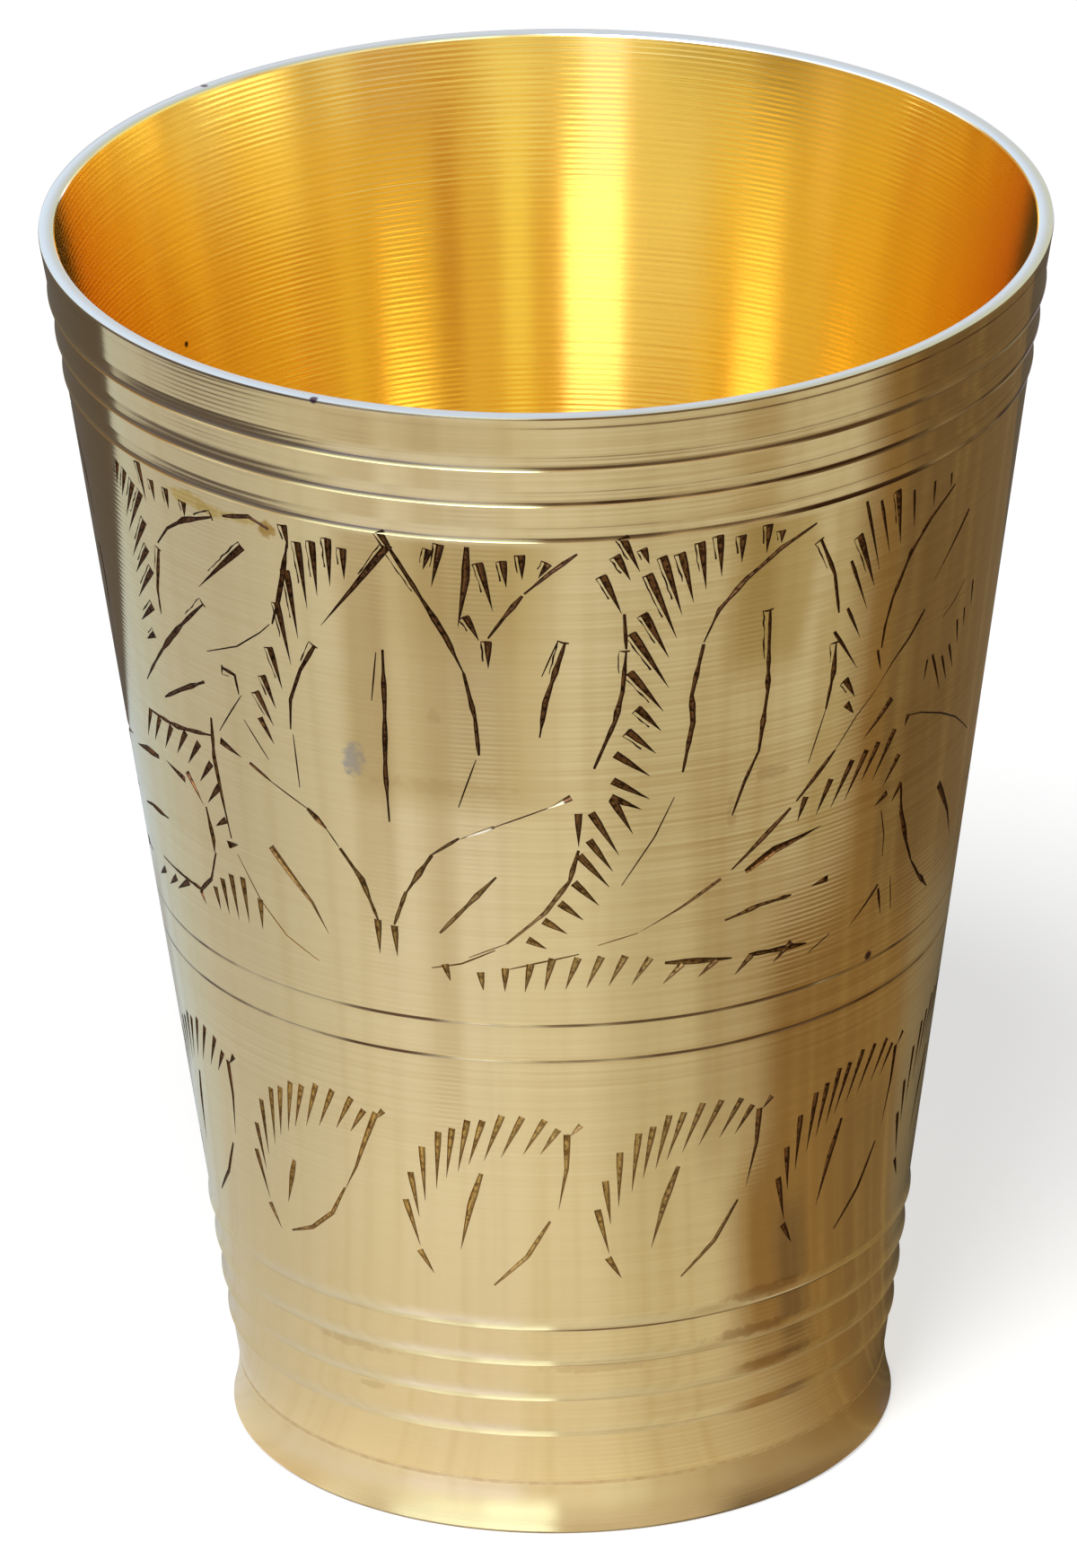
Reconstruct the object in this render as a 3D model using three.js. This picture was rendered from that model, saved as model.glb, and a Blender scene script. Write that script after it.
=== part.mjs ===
// A brass lassi tumbler: a tapered wall turned with rings, a floor disc and a flared foot ring,
// soft-soldered together. Millimetres, +Z up, origin at the centre of the foot's resting face.
import * as THREE from 'three';

// Main sizes, outside the metal
const HEIGHT = 128; // table to lip
const RIM_RADIUS = 50; // at the lip
const BAND_RADIUS = 47.7; // at the lowest of the rings below the lip, where the mouth starts to flare
const WAIST_RADIUS = 32.55; // at the seam between the wall and the foot
const FOOT_RADIUS = 33.2; // at the table
const SEAM_HEIGHT = 5.6; // table to the underside of the wall

// Metal
const WALL = 1.6; // wall thickness, measured level
const FLOOR = 2; // floor disc thickness
const LIP_CHAMFER = 0.25;
const FOOT_CHAMFER = 0.4;

// Turned rings, below the lip and above the foot
const UPPER_RINGS = 3;
const UPPER_TOP = 6; // lip down to the first edge
const UPPER_PITCH = 4;
const LOWER_RINGS = 4;
const LOWER_BOTTOM = 5.5; // seam up to the first edge
const LOWER_PITCH = 4.17;
const FLARE_HEIGHT = 1.6; // a ring's sharp edge up to where its flare starts
const FLARE_STEPS = 3;
const EDGE_PROUD = 0.15; // how far an edge stands out of the wall's taper
const STEP_RISE = 0.2; // edge down to the bottom of the groove under it
const GROOVE_DEPTH = 0.15;
const GROOVE_HEIGHT = 1.2; // edge down to where the wall is back on its taper

// Foot ring and joints
const COLLAR_WALL = 1.6; // thickness of the collar that stands up inside the wall
const COLLAR_RISE = 3.8; // seam up to the collar's top, where the floor disc sits
const FOOT_STEPS = 6;
const SOLDER = 0.4; // thickness of the solder in the foot seam
const SEAM_INSET = 0.15; // how far the seam's solder stays back from the surface
const FILLET = 1.4; // leg of the solder fillet round the floor
const FILLET_SAG = 0.25; // how far the fillet's face is hollow
const FIT_GAP = 0.3; // clearance where tapered faces meet

const SEGMENTS = 64; // facets round the axis

// Heights that follow from the sizes above
const bandHeight = HEIGHT - UPPER_TOP - (UPPER_RINGS - 1) * UPPER_PITCH;
const shoulderHeight = SEAM_HEIGHT - SOLDER;
const collarTop = SEAM_HEIGHT + COLLAR_RISE;
const floorTop = collarTop + FLOOR;

// Radius of the wall's plain outside at height z: one taper up to the ring band, then a wider one
function outside(z) {
  if (z < bandHeight) {
    const rise = (z - SEAM_HEIGHT) / (bandHeight - SEAM_HEIGHT);
    return WAIST_RADIUS + (BAND_RADIUS - WAIST_RADIUS) * rise;
  }
  const rise = (z - bandHeight) / (HEIGHT - bandHeight);
  return BAND_RADIUS + (RIM_RADIUS - BAND_RADIUS) * rise;
}

function inside(z) {
  return outside(z) - WALL;
}

// What stands inside the wall's lower end, clear of it all round
function seated(z) {
  return inside(z) - FIT_GAP;
}

// A solid of revolution about Z from [radius, height] points in order round the section, with the
// metal on the left of the line. A section that doesn't start on the axis is closed on itself.
function turned(name, points, material) {
  const section = points.map(([radius, z]) => new THREE.Vector2(radius, z));
  if (points[0][0] > 0) {
    section.push(section[0].clone());
  }
  const geometry = new THREE.LatheGeometry(section, SEGMENTS);
  geometry.rotateX(Math.PI / 2);
  const mesh = new THREE.Mesh(geometry, material);
  mesh.name = name;
  return mesh;
}

// Section of one ring, going up: groove, sharp edge, and the flare that fades into the taper above
function ring(edge) {
  const points = [
    [outside(edge - GROOVE_HEIGHT), edge - GROOVE_HEIGHT],
    [outside(edge - STEP_RISE) - GROOVE_DEPTH, edge - STEP_RISE],
  ];
  for (let step = 0; step <= FLARE_STEPS; step += 1) {
    const t = step / FLARE_STEPS;
    const z = edge + FLARE_HEIGHT * t;
    points.push([outside(z) + EDGE_PROUD * (1 - t) ** 2, z]);
  }
  return points;
}

// The wall: rings above the foot, plain tapered field, rings below the lip, flat lip, plain inside
function wall() {
  const points = [[outside(SEAM_HEIGHT), SEAM_HEIGHT]];
  for (let count = 0; count < LOWER_RINGS; count += 1) {
    points.push(...ring(SEAM_HEIGHT + LOWER_BOTTOM + count * LOWER_PITCH));
  }
  for (let count = 0; count < UPPER_RINGS; count += 1) {
    points.push(...ring(bandHeight + count * UPPER_PITCH));
  }
  points.push(
    [outside(HEIGHT - LIP_CHAMFER), HEIGHT - LIP_CHAMFER],
    [RIM_RADIUS - LIP_CHAMFER, HEIGHT],
    [inside(HEIGHT) + LIP_CHAMFER, HEIGHT],
    [inside(HEIGHT - LIP_CHAMFER), HEIGHT - LIP_CHAMFER],
    [inside(bandHeight), bandHeight],
    [inside(SEAM_HEIGHT), SEAM_HEIGHT],
  );
  return turned('wall', points, new THREE.MeshStandardMaterial({
    color: 0xcfae6e,
    roughness: 0.3,
    metalness: 1,
  }));
}

// The foot ring: flared outside, flat shoulder under the wall, and a collar that centres the wall
function footRing() {
  const bore = seated(SEAM_HEIGHT) - COLLAR_WALL;
  const points = [
    [bore, 0],
    [FOOT_RADIUS - FOOT_CHAMFER, 0],
  ];
  for (let step = 0; step <= FOOT_STEPS; step += 1) {
    const t = step / FOOT_STEPS;
    const z = FOOT_CHAMFER + (shoulderHeight - FOOT_CHAMFER) * t;
    points.push([WAIST_RADIUS + (FOOT_RADIUS - WAIST_RADIUS) * (1 - t) ** 2, z]);
  }
  points.push(
    [seated(SEAM_HEIGHT), shoulderHeight],
    [seated(SEAM_HEIGHT), SEAM_HEIGHT],
    [seated(collarTop), collarTop],
    [bore, collarTop],
  );
  return turned('foot_ring', points, new THREE.MeshStandardMaterial({
    color: 0xcbaa6a,
    roughness: 0.32,
    metalness: 1,
  }));
}

// The solder that fills the seam between the foot's shoulder and the wall's underside
function footSolder() {
  const points = [
    [inside(SEAM_HEIGHT), shoulderHeight],
    [WAIST_RADIUS - SEAM_INSET, shoulderHeight],
    [WAIST_RADIUS - SEAM_INSET, SEAM_HEIGHT],
    [inside(SEAM_HEIGHT), SEAM_HEIGHT],
  ];
  return turned('foot_solder', points, new THREE.MeshStandardMaterial({
    color: 0xa59a7c,
    roughness: 0.5,
    metalness: 1,
  }));
}

// The floor of the cup: a disc that drops into the taper and sits on the collar
function floorDisc() {
  const points = [
    [0, collarTop],
    [seated(collarTop), collarTop],
    [seated(floorTop), floorTop],
    [0, floorTop],
  ];
  return turned('floor_disc', points, new THREE.MeshStandardMaterial({
    color: 0xc9a45c,
    roughness: 0.35,
    metalness: 1,
  }));
}

// The solder fillet that seals the disc to the wall, hollow on its face
function floorSolder() {
  const half = FILLET / 2;
  const points = [
    [seated(floorTop) - FILLET, floorTop],
    [seated(floorTop), floorTop],
    [seated(floorTop + FILLET), floorTop + FILLET],
    [seated(floorTop) - half + FILLET_SAG, floorTop + half - FILLET_SAG],
  ];
  return turned('floor_solder', points, new THREE.MeshStandardMaterial({
    color: 0xb7b3a6,
    roughness: 0.45,
    metalness: 1,
  }));
}

const tumbler = new THREE.Group();
tumbler.add(footRing(), footSolder(), wall(), floorDisc(), floorSolder());

export default tumbler;
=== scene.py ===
import math
import random

import bpy
import numpy as np
from mathutils import Matrix, Vector


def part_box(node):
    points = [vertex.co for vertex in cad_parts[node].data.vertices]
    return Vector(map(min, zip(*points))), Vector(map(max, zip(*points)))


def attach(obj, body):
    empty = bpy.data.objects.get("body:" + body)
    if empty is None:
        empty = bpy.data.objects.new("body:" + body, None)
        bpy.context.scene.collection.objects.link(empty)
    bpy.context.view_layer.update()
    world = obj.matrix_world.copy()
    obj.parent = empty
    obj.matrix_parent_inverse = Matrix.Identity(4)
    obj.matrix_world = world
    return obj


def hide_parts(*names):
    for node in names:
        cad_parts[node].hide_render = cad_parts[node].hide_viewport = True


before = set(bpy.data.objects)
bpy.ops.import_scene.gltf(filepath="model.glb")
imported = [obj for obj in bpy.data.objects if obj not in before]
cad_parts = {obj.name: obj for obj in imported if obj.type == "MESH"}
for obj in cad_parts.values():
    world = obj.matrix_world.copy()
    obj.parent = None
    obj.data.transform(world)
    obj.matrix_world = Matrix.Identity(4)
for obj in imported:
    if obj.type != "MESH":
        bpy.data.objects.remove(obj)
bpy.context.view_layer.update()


# Foot ring: the flared ring that the tumbler stands on, turned from cast brass. Its shoulder carries
# the wall, and its collar stands up inside the wall, where it is soft-soldered.
MM = 0.001  # the tumbler's sizes are in millimetres
WAIST_RADIUS = 32.55
FOOT_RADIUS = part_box("foot_ring")[1].x / MM
FOOT_BORE = 29.05
FOOT_CHAMFER = 0.4
COLLAR_RADIUS = 30.65
SHOULDER_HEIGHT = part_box("foot_solder")[0].z / MM
COLLAR_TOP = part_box("foot_ring")[1].z / MM
COLLAR_LEAN = 0.126  # how much further out the collar is for each millimetre of height
FOOT_STEPS = 14
SEGMENTS = 240  # facets round a turned piece
CORE_RADIUS = 1.0  # a section is swept round a circle of this radius
CRISP_ANGLE = math.radians(24)  # a sharper corner than this stays an edge
BRASS = (0.90, 0.735, 0.41, 1)
BRASS_DULL = (0.72, 0.53, 0.25, 1)
# brown used for tarnish stains on the wall, and for painted shade on the foot's right side and below the
# lower rings
TARNISH_AND_SHADE_BROWN = (0.50, 0.33, 0.15, 1)
FOOT_ROUGH = 0.11
FOOT_DULL = 0.3  # how far the broad lines dull it
FOOT_PAINTED_SHADE_SIDE = (95.0, 72.0, 14.0)  # its right side, darkened with painted shade: degrees round, half width, soft edge
FOOT_PAINTED_SHADE_SHARE = 0.5
FINE_LINES = (14, 2800)  # the lathe's lines: noise for each metre round the axis, and across the lines
BROAD_LINES = (6, 500)
LINE_RISE = 6e-6  # metres that the lines stand up
LINE_SPREAD = 0.6  # how far they draw out a highlight
ACROSS_LINES = 0.25  # turns, from along the lines to across them
WELD_GAP = 1e-6  # metres between points that become one
AXIS_GUARD = 1e-9  # a point on the axis counts as this far from it


class Socket:
    """One output of a node. Arithmetic on it adds Math nodes to the same tree."""

    def __init__(self, graph, link):
        self.graph = graph
        self.link = link

    def math(self, operation, *numbers):
        return self.graph.node("ShaderNodeMath", {"operation": operation}, dict(enumerate(numbers)))

    def __add__(self, other):
        return self.math("ADD", self, other)

    def __radd__(self, other):
        return self.math("ADD", other, self)

    def __sub__(self, other):
        return self.math("SUBTRACT", self, other)

    def __rsub__(self, other):
        return self.math("SUBTRACT", other, self)

    def __mul__(self, other):
        return self.math("MULTIPLY", self, other)

    def __rmul__(self, other):
        return self.math("MULTIPLY", other, self)

    def __truediv__(self, other):
        return self.math("DIVIDE", self, other)

    def __abs__(self):
        return self.math("ABSOLUTE", self)

    def __pow__(self, other):
        return self.math("POWER", self, other)

    def from_to(self, first, second):
        """The number first where this is 0, second where it is 1."""
        return first + self * (second - first)


class Graph:
    """A node tree that is written one call to a node."""

    def __init__(self, tree):
        self.tree = tree

    def node(self, kind, settings=None, sockets=None, output=0):
        made = self.tree.nodes.new(kind)
        for name, value in (settings or {}).items():
            setattr(made, name, value)
        for name, value in (sockets or {}).items():
            if isinstance(value, Socket):
                self.tree.links.new(value.link, made.inputs[name])
            else:
                made.inputs[name].default_value = value
        return Socket(self, made.outputs[output]) if len(made.outputs) else None

    def rise(self, value, low, high):
        """0 below low, 1 above high, smooth between; the other way round where high is less."""
        return self.node("ShaderNodeMapRange", {"interpolation_type": "SMOOTHSTEP"},
                         {"Value": value, "From Min": low, "From Max": high})

    def blend(self, share, first, second):
        """Colours: first where share is 0, second where it is 1."""
        return self.node("ShaderNodeMix", {"data_type": "RGBA"}, {0: share, 6: first, 7: second}, output=2)

    def noise(self, vector, scale=1.0, detail=2.0):
        return self.node("ShaderNodeTexNoise", None, {"Vector": vector, "Scale": scale, "Detail": detail})

    def vector(self, x, y, z):
        return self.node("ShaderNodeCombineXYZ", None, {"X": x, "Y": y, "Z": z})

    def split(self, vector):
        """The vector's x, y and z."""
        parts = self.node("ShaderNodeSeparateXYZ", None, {"Vector": vector}).link.node
        return [Socket(self, parts.outputs[axis]) for axis in "XYZ"]

    def drawn_out(self, x, y, along, scale, detail=3.0):
        """Noise with the two scales given: round the axis, and along the third direction."""
        around, over = scale
        return self.noise(self.vector(x * around, y * around, along * over), detail=detail)

    def degrees_round(self, x, y):
        """Degrees round the axis from the front, more to the right."""
        return x.math("ARCTAN2", x, 0 - y) * math.degrees(1)

    def near_angle(self, angle, middle, wide, soft):
        """1 within wide degrees of the middle, fading to 0 over soft degrees on either side of that."""
        away = abs(angle.math("WRAP", angle - middle, 180.0, -180.0))
        return self.rise(away, wide + soft, wide - soft)

    def between(self, value, low, high, soft):
        """1 from low to high, fading to 0 over soft on either side of that."""
        return self.rise(value, low - soft, low) * self.rise(value, high + soft, high)


def new_tree(name, inputs):
    """A geometry tree with named inputs; returns it as a graph, with its inputs' sockets by name."""
    tree = bpy.data.node_groups.new(name, "GeometryNodeTree")
    tree.interface.new_socket("Geometry", in_out="OUTPUT", socket_type="NodeSocketGeometry")
    tree.interface.new_socket("Geometry", in_out="INPUT", socket_type="NodeSocketGeometry")
    for label, kind in inputs.items():
        tree.interface.new_socket(label, in_out="INPUT", socket_type=kind)
    graph = Graph(tree)
    entry = graph.node("NodeGroupInput").link.node
    return graph, {socket.name: Socket(graph, socket) for socket in entry.outputs if socket.name}


def close_tree(graph, geometry, material, faces=True):
    """Ends a geometry tree: a plain mesh, with these faces in the material."""
    plain = graph.node("GeometryNodeRealizeInstances", None, {"Geometry": geometry})
    finished = graph.node("GeometryNodeSetMaterial", None, {
        "Geometry": plain,
        "Selection": faces,
        "Material": material,
    })
    graph.node("NodeGroupOutput", None, {0: finished})


def lathe_tree():
    """Sweeps a section round the axis, as a lathe does, and closes its seams and poles."""
    graph, given = new_tree("lathe", {
        "Segments": "NodeSocketInt",
        "Core Radius": "NodeSocketFloat",
        "Material": "NodeSocketMaterial",
    })
    section = graph.node("GeometryNodeMeshToCurve", None, {"Mesh": given["Geometry"]})
    circle = graph.node("GeometryNodeCurvePrimitiveCircle", None, {
        "Resolution": given["Segments"],
        "Radius": given["Core Radius"],
    })
    swept = graph.node("GeometryNodeCurveToMesh", None, {"Curve": circle, "Profile Curve": section})
    joined = graph.node("GeometryNodeMergeByDistance", None, {"Geometry": swept, "Distance": WELD_GAP})
    outward = graph.node("GeometryNodeFlipFaces", None, {"Mesh": joined})
    close_tree(graph, outward, given["Material"])
    return graph.tree


LATHE = lathe_tree()


def run_tree(piece, tree, sizes):
    """Runs a geometry tree on a piece, and keeps the result as the piece's own plain mesh."""
    step = piece.modifiers.new(tree.name, "NODES")
    step.node_group = tree
    for socket in tree.interface.items_tree:
        if socket.in_out == "INPUT" and socket.name in sizes:
            step[socket.identifier] = sizes[socket.name]
    worked = piece.evaluated_get(bpy.context.evaluated_depsgraph_get())
    mesh = bpy.data.meshes.new_from_object(worked)
    piece.modifiers.remove(step)
    piece.data = mesh


def turned(name, outline, material, closed=True):
    """A piece turned from its outline: [radius, height] points with the metal on their left."""
    section = bpy.data.meshes.new(name)
    corners = [((radius - CORE_RADIUS) * MM, -height * MM, 0) for radius, height in outline]
    lines = [(i, i + 1) for i in range(len(outline) - 1)]
    if closed:
        lines.append((len(outline) - 1, 0))
    section.from_pydata(corners, lines, [])
    piece = bpy.data.objects.new(name, section)
    bpy.context.scene.collection.objects.link(piece)
    run_tree(piece, LATHE, {"Segments": SEGMENTS, "Core Radius": CORE_RADIUS * MM, "Material": material})
    return piece


def true_normals(piece, outline, closed=True, flat_material=None):
    """Shades a turned piece by its outline instead of its facets. Faces in flat_material stay flat."""
    mesh = piece.data
    line = np.array(outline + outline[:1] if closed else outline) * MM
    start, end = line[:-1], line[1:]
    run = end - start
    length = np.linalg.norm(run, axis=1)
    face_normal = np.stack([run[:, 1], -run[:, 0]], axis=1) / length[:, None]
    first, last = face_normal.copy(), face_normal.copy()
    for i in range(len(run)):
        j = (i + 1) % len(run)
        if j == 0 and not closed:
            continue
        if face_normal[i] @ face_normal[j] > math.cos(CRISP_ANGLE):
            shared = face_normal[i] + face_normal[j]
            last[i] = first[j] = shared / np.linalg.norm(shared)

    loops = len(mesh.loops)
    corner = np.empty(loops, np.int32)
    mesh.loops.foreach_get("vertex_index", corner)
    place = np.empty(len(mesh.vertices) * 3)
    mesh.vertices.foreach_get("co", place)
    place = place.reshape(-1, 3)[corner]
    faces = len(mesh.polygons)
    sides = np.empty(faces, np.int32)
    mesh.polygons.foreach_get("loop_total", sides)
    slots = np.empty(faces, np.int32)
    mesh.polygons.foreach_get("material_index", slots)
    flat = np.empty(faces * 3)
    mesh.polygons.foreach_get("normal", flat)
    face_of = np.repeat(np.arange(faces), sides)
    radius = np.linalg.norm(place[:, :2], axis=1)
    spot = np.stack([radius, place[:, 2]], axis=1)
    middle = np.stack([np.bincount(face_of, spot[:, k]) / sides for k in (0, 1)], axis=1)

    along = ((middle[:, None] - start) * run).sum(axis=2) / length ** 2
    nearest = start + along.clip(0, 1)[..., None] * run
    segment = np.linalg.norm(middle[:, None] - nearest, axis=2).argmin(axis=1)[face_of]
    share = ((spot - start[segment]) * run[segment]).sum(axis=1) / length[segment] ** 2
    share = share.clip(0, 1)[:, None]
    lean = first[segment] * (1 - share) + last[segment] * share
    lean /= np.linalg.norm(lean, axis=1)[:, None]
    outward = place[:, :2] / np.maximum(radius, AXIS_GUARD)[:, None]
    normal = np.column_stack([outward * lean[:, :1], lean[:, 1]])
    if flat_material is not None:
        cut = (slots == flat_material)[face_of]
        normal[cut] = flat.reshape(-1, 3)[face_of][cut]
    mesh.polygons.foreach_set("use_smooth", np.ones(faces, bool))
    mesh.normals_split_custom_set(normal.tolist())


def start_material(name):
    """A new material; returns it with its graph and the Object coordinates as x, y and z in metres."""
    material = bpy.data.materials.new(name)
    material.use_nodes = True
    material.node_tree.nodes.clear()
    graph = Graph(material.node_tree)
    place = graph.node("ShaderNodeTexCoord", output="Object")
    return material, graph, *graph.split(place)


def tool_lines(graph, x, y, across):
    """Fine and broad lines left by the lathe tool: they run round the axis, and repeat along across."""
    return [graph.drawn_out(x, y, across, scale) for scale in (FINE_LINES, BROAD_LINES)]


def close_metal(graph, colour, roughness, marks, rise, spread):
    """Ends a metal: its colour and roughness, and marks that stand up by as much as rise metres."""
    bump = graph.node("ShaderNodeBump", None, {"Height": marks, "Distance": rise, "Strength": 1.0})
    shader = graph.node("ShaderNodeBsdfPrincipled", None, {
        "Base Color": colour,
        "Metallic": 1.0,
        "Roughness": roughness,
        "Anisotropic": spread,
        "Anisotropic Rotation": ACROSS_LINES,
        "Normal": bump,
    })
    graph.node("ShaderNodeOutputMaterial", None, {"Surface": shader})


def foot_brass():
    material, graph, x, y, z = start_material("foot_turned_brass")
    fine, broad = tool_lines(graph, x, y, z)
    colour = graph.blend(graph.rise(broad, 0.5, 0.8) * FOOT_DULL, BRASS, BRASS_DULL)
    # painted shade: the foot's right side is darkened towards the brown
    shaded_side = graph.near_angle(graph.degrees_round(x, y), *FOOT_PAINTED_SHADE_SIDE)
    colour = graph.blend(shaded_side * FOOT_PAINTED_SHADE_SHARE, colour, TARNISH_AND_SHADE_BROWN)
    close_metal(graph, colour, FOOT_ROUGH + fine * 0.05, fine + broad, LINE_RISE, LINE_SPREAD)
    return material


foot_outline = [(FOOT_BORE, 0), (FOOT_RADIUS - FOOT_CHAMFER, 0)]
for step in range(FOOT_STEPS + 1):
    up = step / FOOT_STEPS
    height = FOOT_CHAMFER + (SHOULDER_HEIGHT - FOOT_CHAMFER) * up
    foot_outline.append((WAIST_RADIUS + (FOOT_RADIUS - WAIST_RADIUS) * (1 - up) ** 2, height))
foot_outline += [
    (COLLAR_RADIUS, SHOULDER_HEIGHT),
    (COLLAR_RADIUS + COLLAR_LEAN * (COLLAR_TOP - SHOULDER_HEIGHT), COLLAR_TOP),
    (FOOT_BORE, COLLAR_TOP),
]
foot = turned("flared_foot", foot_outline, foot_brass())
true_normals(foot, foot_outline)
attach(foot, "root")
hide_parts("foot_ring")


# Seam solder: the soft solder that fills the joint between the foot's shoulder and the wall, turned
# almost flush with them and browned with age.
SEAM_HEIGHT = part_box("wall")[0].z / MM
SEAM_INSET = 0.01
SEAM_OUTSIDE = WAIST_RADIUS - SEAM_INSET
SEAM_INSIDE = 30.95
SEAM_PALE = (0.80, 0.63, 0.34, 1)
SEAM_DARK = (0.70, 0.52, 0.26, 1)
SOLDER_LUMPS = 900.0  # noise for each metre
SOLDER_ROUGH = 0.25
LUMP_RISE = 1e-5


def solder(name, pale, dark):
    material, graph, x, y, z = start_material(name)
    lumps = graph.noise(graph.vector(x, y, z), scale=SOLDER_LUMPS, detail=3.0)
    colour = graph.blend(graph.rise(lumps, 0.35, 0.7), dark, pale)
    close_metal(graph, colour, SOLDER_ROUGH + lumps * 0.2, lumps, LUMP_RISE, 0.0)
    return material


seam_outline = [
    (SEAM_INSIDE, SHOULDER_HEIGHT),
    (SEAM_OUTSIDE, SHOULDER_HEIGHT),
    (SEAM_OUTSIDE, SEAM_HEIGHT),
    (SEAM_INSIDE, SEAM_HEIGHT),
]
seam = turned("foot_seam", seam_outline, solder("seam_solder", SEAM_PALE, SEAM_DARK))
true_normals(seam, seam_outline)
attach(seam, "root")
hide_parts("foot_solder")


# Wall: the tapered tube, cast and turned inside and out, with a flat lip, three rings below it, four
# above the foot, and leaf bands cut by hand with a chisel. It stands on the foot's shoulder.
LIP_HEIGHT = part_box("wall")[1].z / MM
RIM_RADIUS = 50.0
BAND_RADIUS = 47.7
WALL = 1.6
LIP_ROUND = 0.25
LIP_CUT = 0.3 * LIP_ROUND  # how far in the middle of the lip's rounding is
UPPER_EDGES = [114.0, 118.0, 122.0]
LOWER_EDGES = [11.1, 15.27, 19.44, 23.61]
BAND_HEIGHT = UPPER_EDGES[0]  # the taper widens above this
FIELD_SLOPE = (BAND_RADIUS - WAIST_RADIUS) / (BAND_HEIGHT - SEAM_HEIGHT)
MOUTH_SLOPE = (RIM_RADIUS - BAND_RADIUS) / (LIP_HEIGHT - BAND_HEIGHT)
# A flare: how far it stands out at its edge, the power it grows by, and how far its edge curls out
UPPER_FLARE = (0.11, 1, 0.12)
LOWER_FLARE = (0.26, 2, 0.0)
FLARE_HEIGHT = 1.65
CURL_HEIGHT = 0.55
FLARE_STEPS = 10
FLARE_CROWD = 1.5  # the power by which the steps crowd towards the edge
STEP_RISE = 0.12  # edge down to where the wall is back on its taper
CREASE = 0.12  # a crease in the outline has a point this far on either side of it
SCORED_LINES = [54.9, 59.05]  # fine lines scored round the wall
SCORE_WIDTH = 0.3
SCORE_DEPTH = 0.04
FIELD_STEP = 8.0  # plain stretches have a point at least this often
BORE_STEPS = 16  # points along the inside
FEED_PITCH = 0.55  # the tool's feed for each turn of the lathe, outside
BORE_PITCH = 0.7  # and inside, where the finish is coarser
FEED_STRAY = 9.0  # how far the tool's swing bends those lines, outside
BORE_STRAY = 14.0  # and inside
BORE_MARKS = 0.09  # how far the lines inside stand up, as a share of the other lines
FEED_DULL_AND_SHADE = (0.12, 0.28)  # how far those outside darken the brass, left and right of the front: the stronger right is painted shade
BRASS_INSIDE = (0.93, 0.745, 0.33, 1)
BRASS_SHADE = (0.74, 0.50, 0.17, 1)
# the lip's flat is painted this pale silver as a reflection of the sky
LIP_PAINTED_REFLECTION = (0.57, 0.58, 0.66, 1)
# near-black for the painted dark reflection on the lip's outer edge, and for the black specks
EDGE_SHADE_AND_SPECK_BLACK = (0.10, 0.06, 0.075, 1)
WALL_ROUGH = 0.085
WALL_MIDDLE = (0.7, 0.9)  # millimetres in from the taper, where the inside's finish takes over
LIP_SHADED_EDGE = (0.34, 0.22)  # millimetres down from the lip, where its painted dark reflection on the outer edge starts and is full
LIP_FLAT = (0.12, 0.04)  # and the same of its flat, painted pale as a reflection of the sky
PATCHES = (25, 40)  # noise for each metre round the axis and along it: where lines show more,
SWING = (10, 60)  # how far the tool strayed,
DIRT_SHADE_SPOTS = (70, 40)  # and where caught dirt and painted shade show along the turned lines
RAGGED = 1100.0  # noise for each metre on the edges of stains
LINED_LEAST = 0.35  # lines show at least this much
LINED_HEIGHTS = (25, 55)  # they show less below the first height and fully above the second
LINED_RIGHT = (-10, 15)  # and more from one of these degrees round to the other
LINED_SIDES = (0.6, 1.6)  # by these shares, left and right of the front: the stronger right is painted shade
DIRT_SHADE_RIGHT = (-8, 6)  # degrees round over which the strength of the dirt and painted shade lines changes sides
DIRT_AND_SHADE_LINES = [  # height, half width, strength on the right of the front and on its left: dark lines in the rings' steps and scored lines, partly caught dirt and partly painted shade
    (126.8, 0.14, 0.8, 0.1),
    (123.5, 0.10, 0.5, 0.1),
    (122.3, 0.20, 0.75, 0.1),
    (119.6, 0.10, 0.5, 0.1),
    (118.35, 0.24, 1.0, 0.1),
    (115.55, 0.10, 0.5, 0.1),
    (114.25, 0.28, 1.0, 0.1),
    (59.0, 0.23, 0.95, 1.0),
    (54.85, 0.23, 0.95, 1.0),
    (23.5, 0.20, 1.0, 0.1),
    (19.35, 0.14, 0.5, 0.1),
]
SPECKS = [  # degrees round, radius, height, size: black spots
    (-27.0, 49.75, 127.9, 0.55),
    (-136.5, 49.4, 128.0, 0.5),
    (-126.0, 44.7, 104.0, 0.4),
    (50.0, 40.1, 59.6, 0.65),
]
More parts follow.
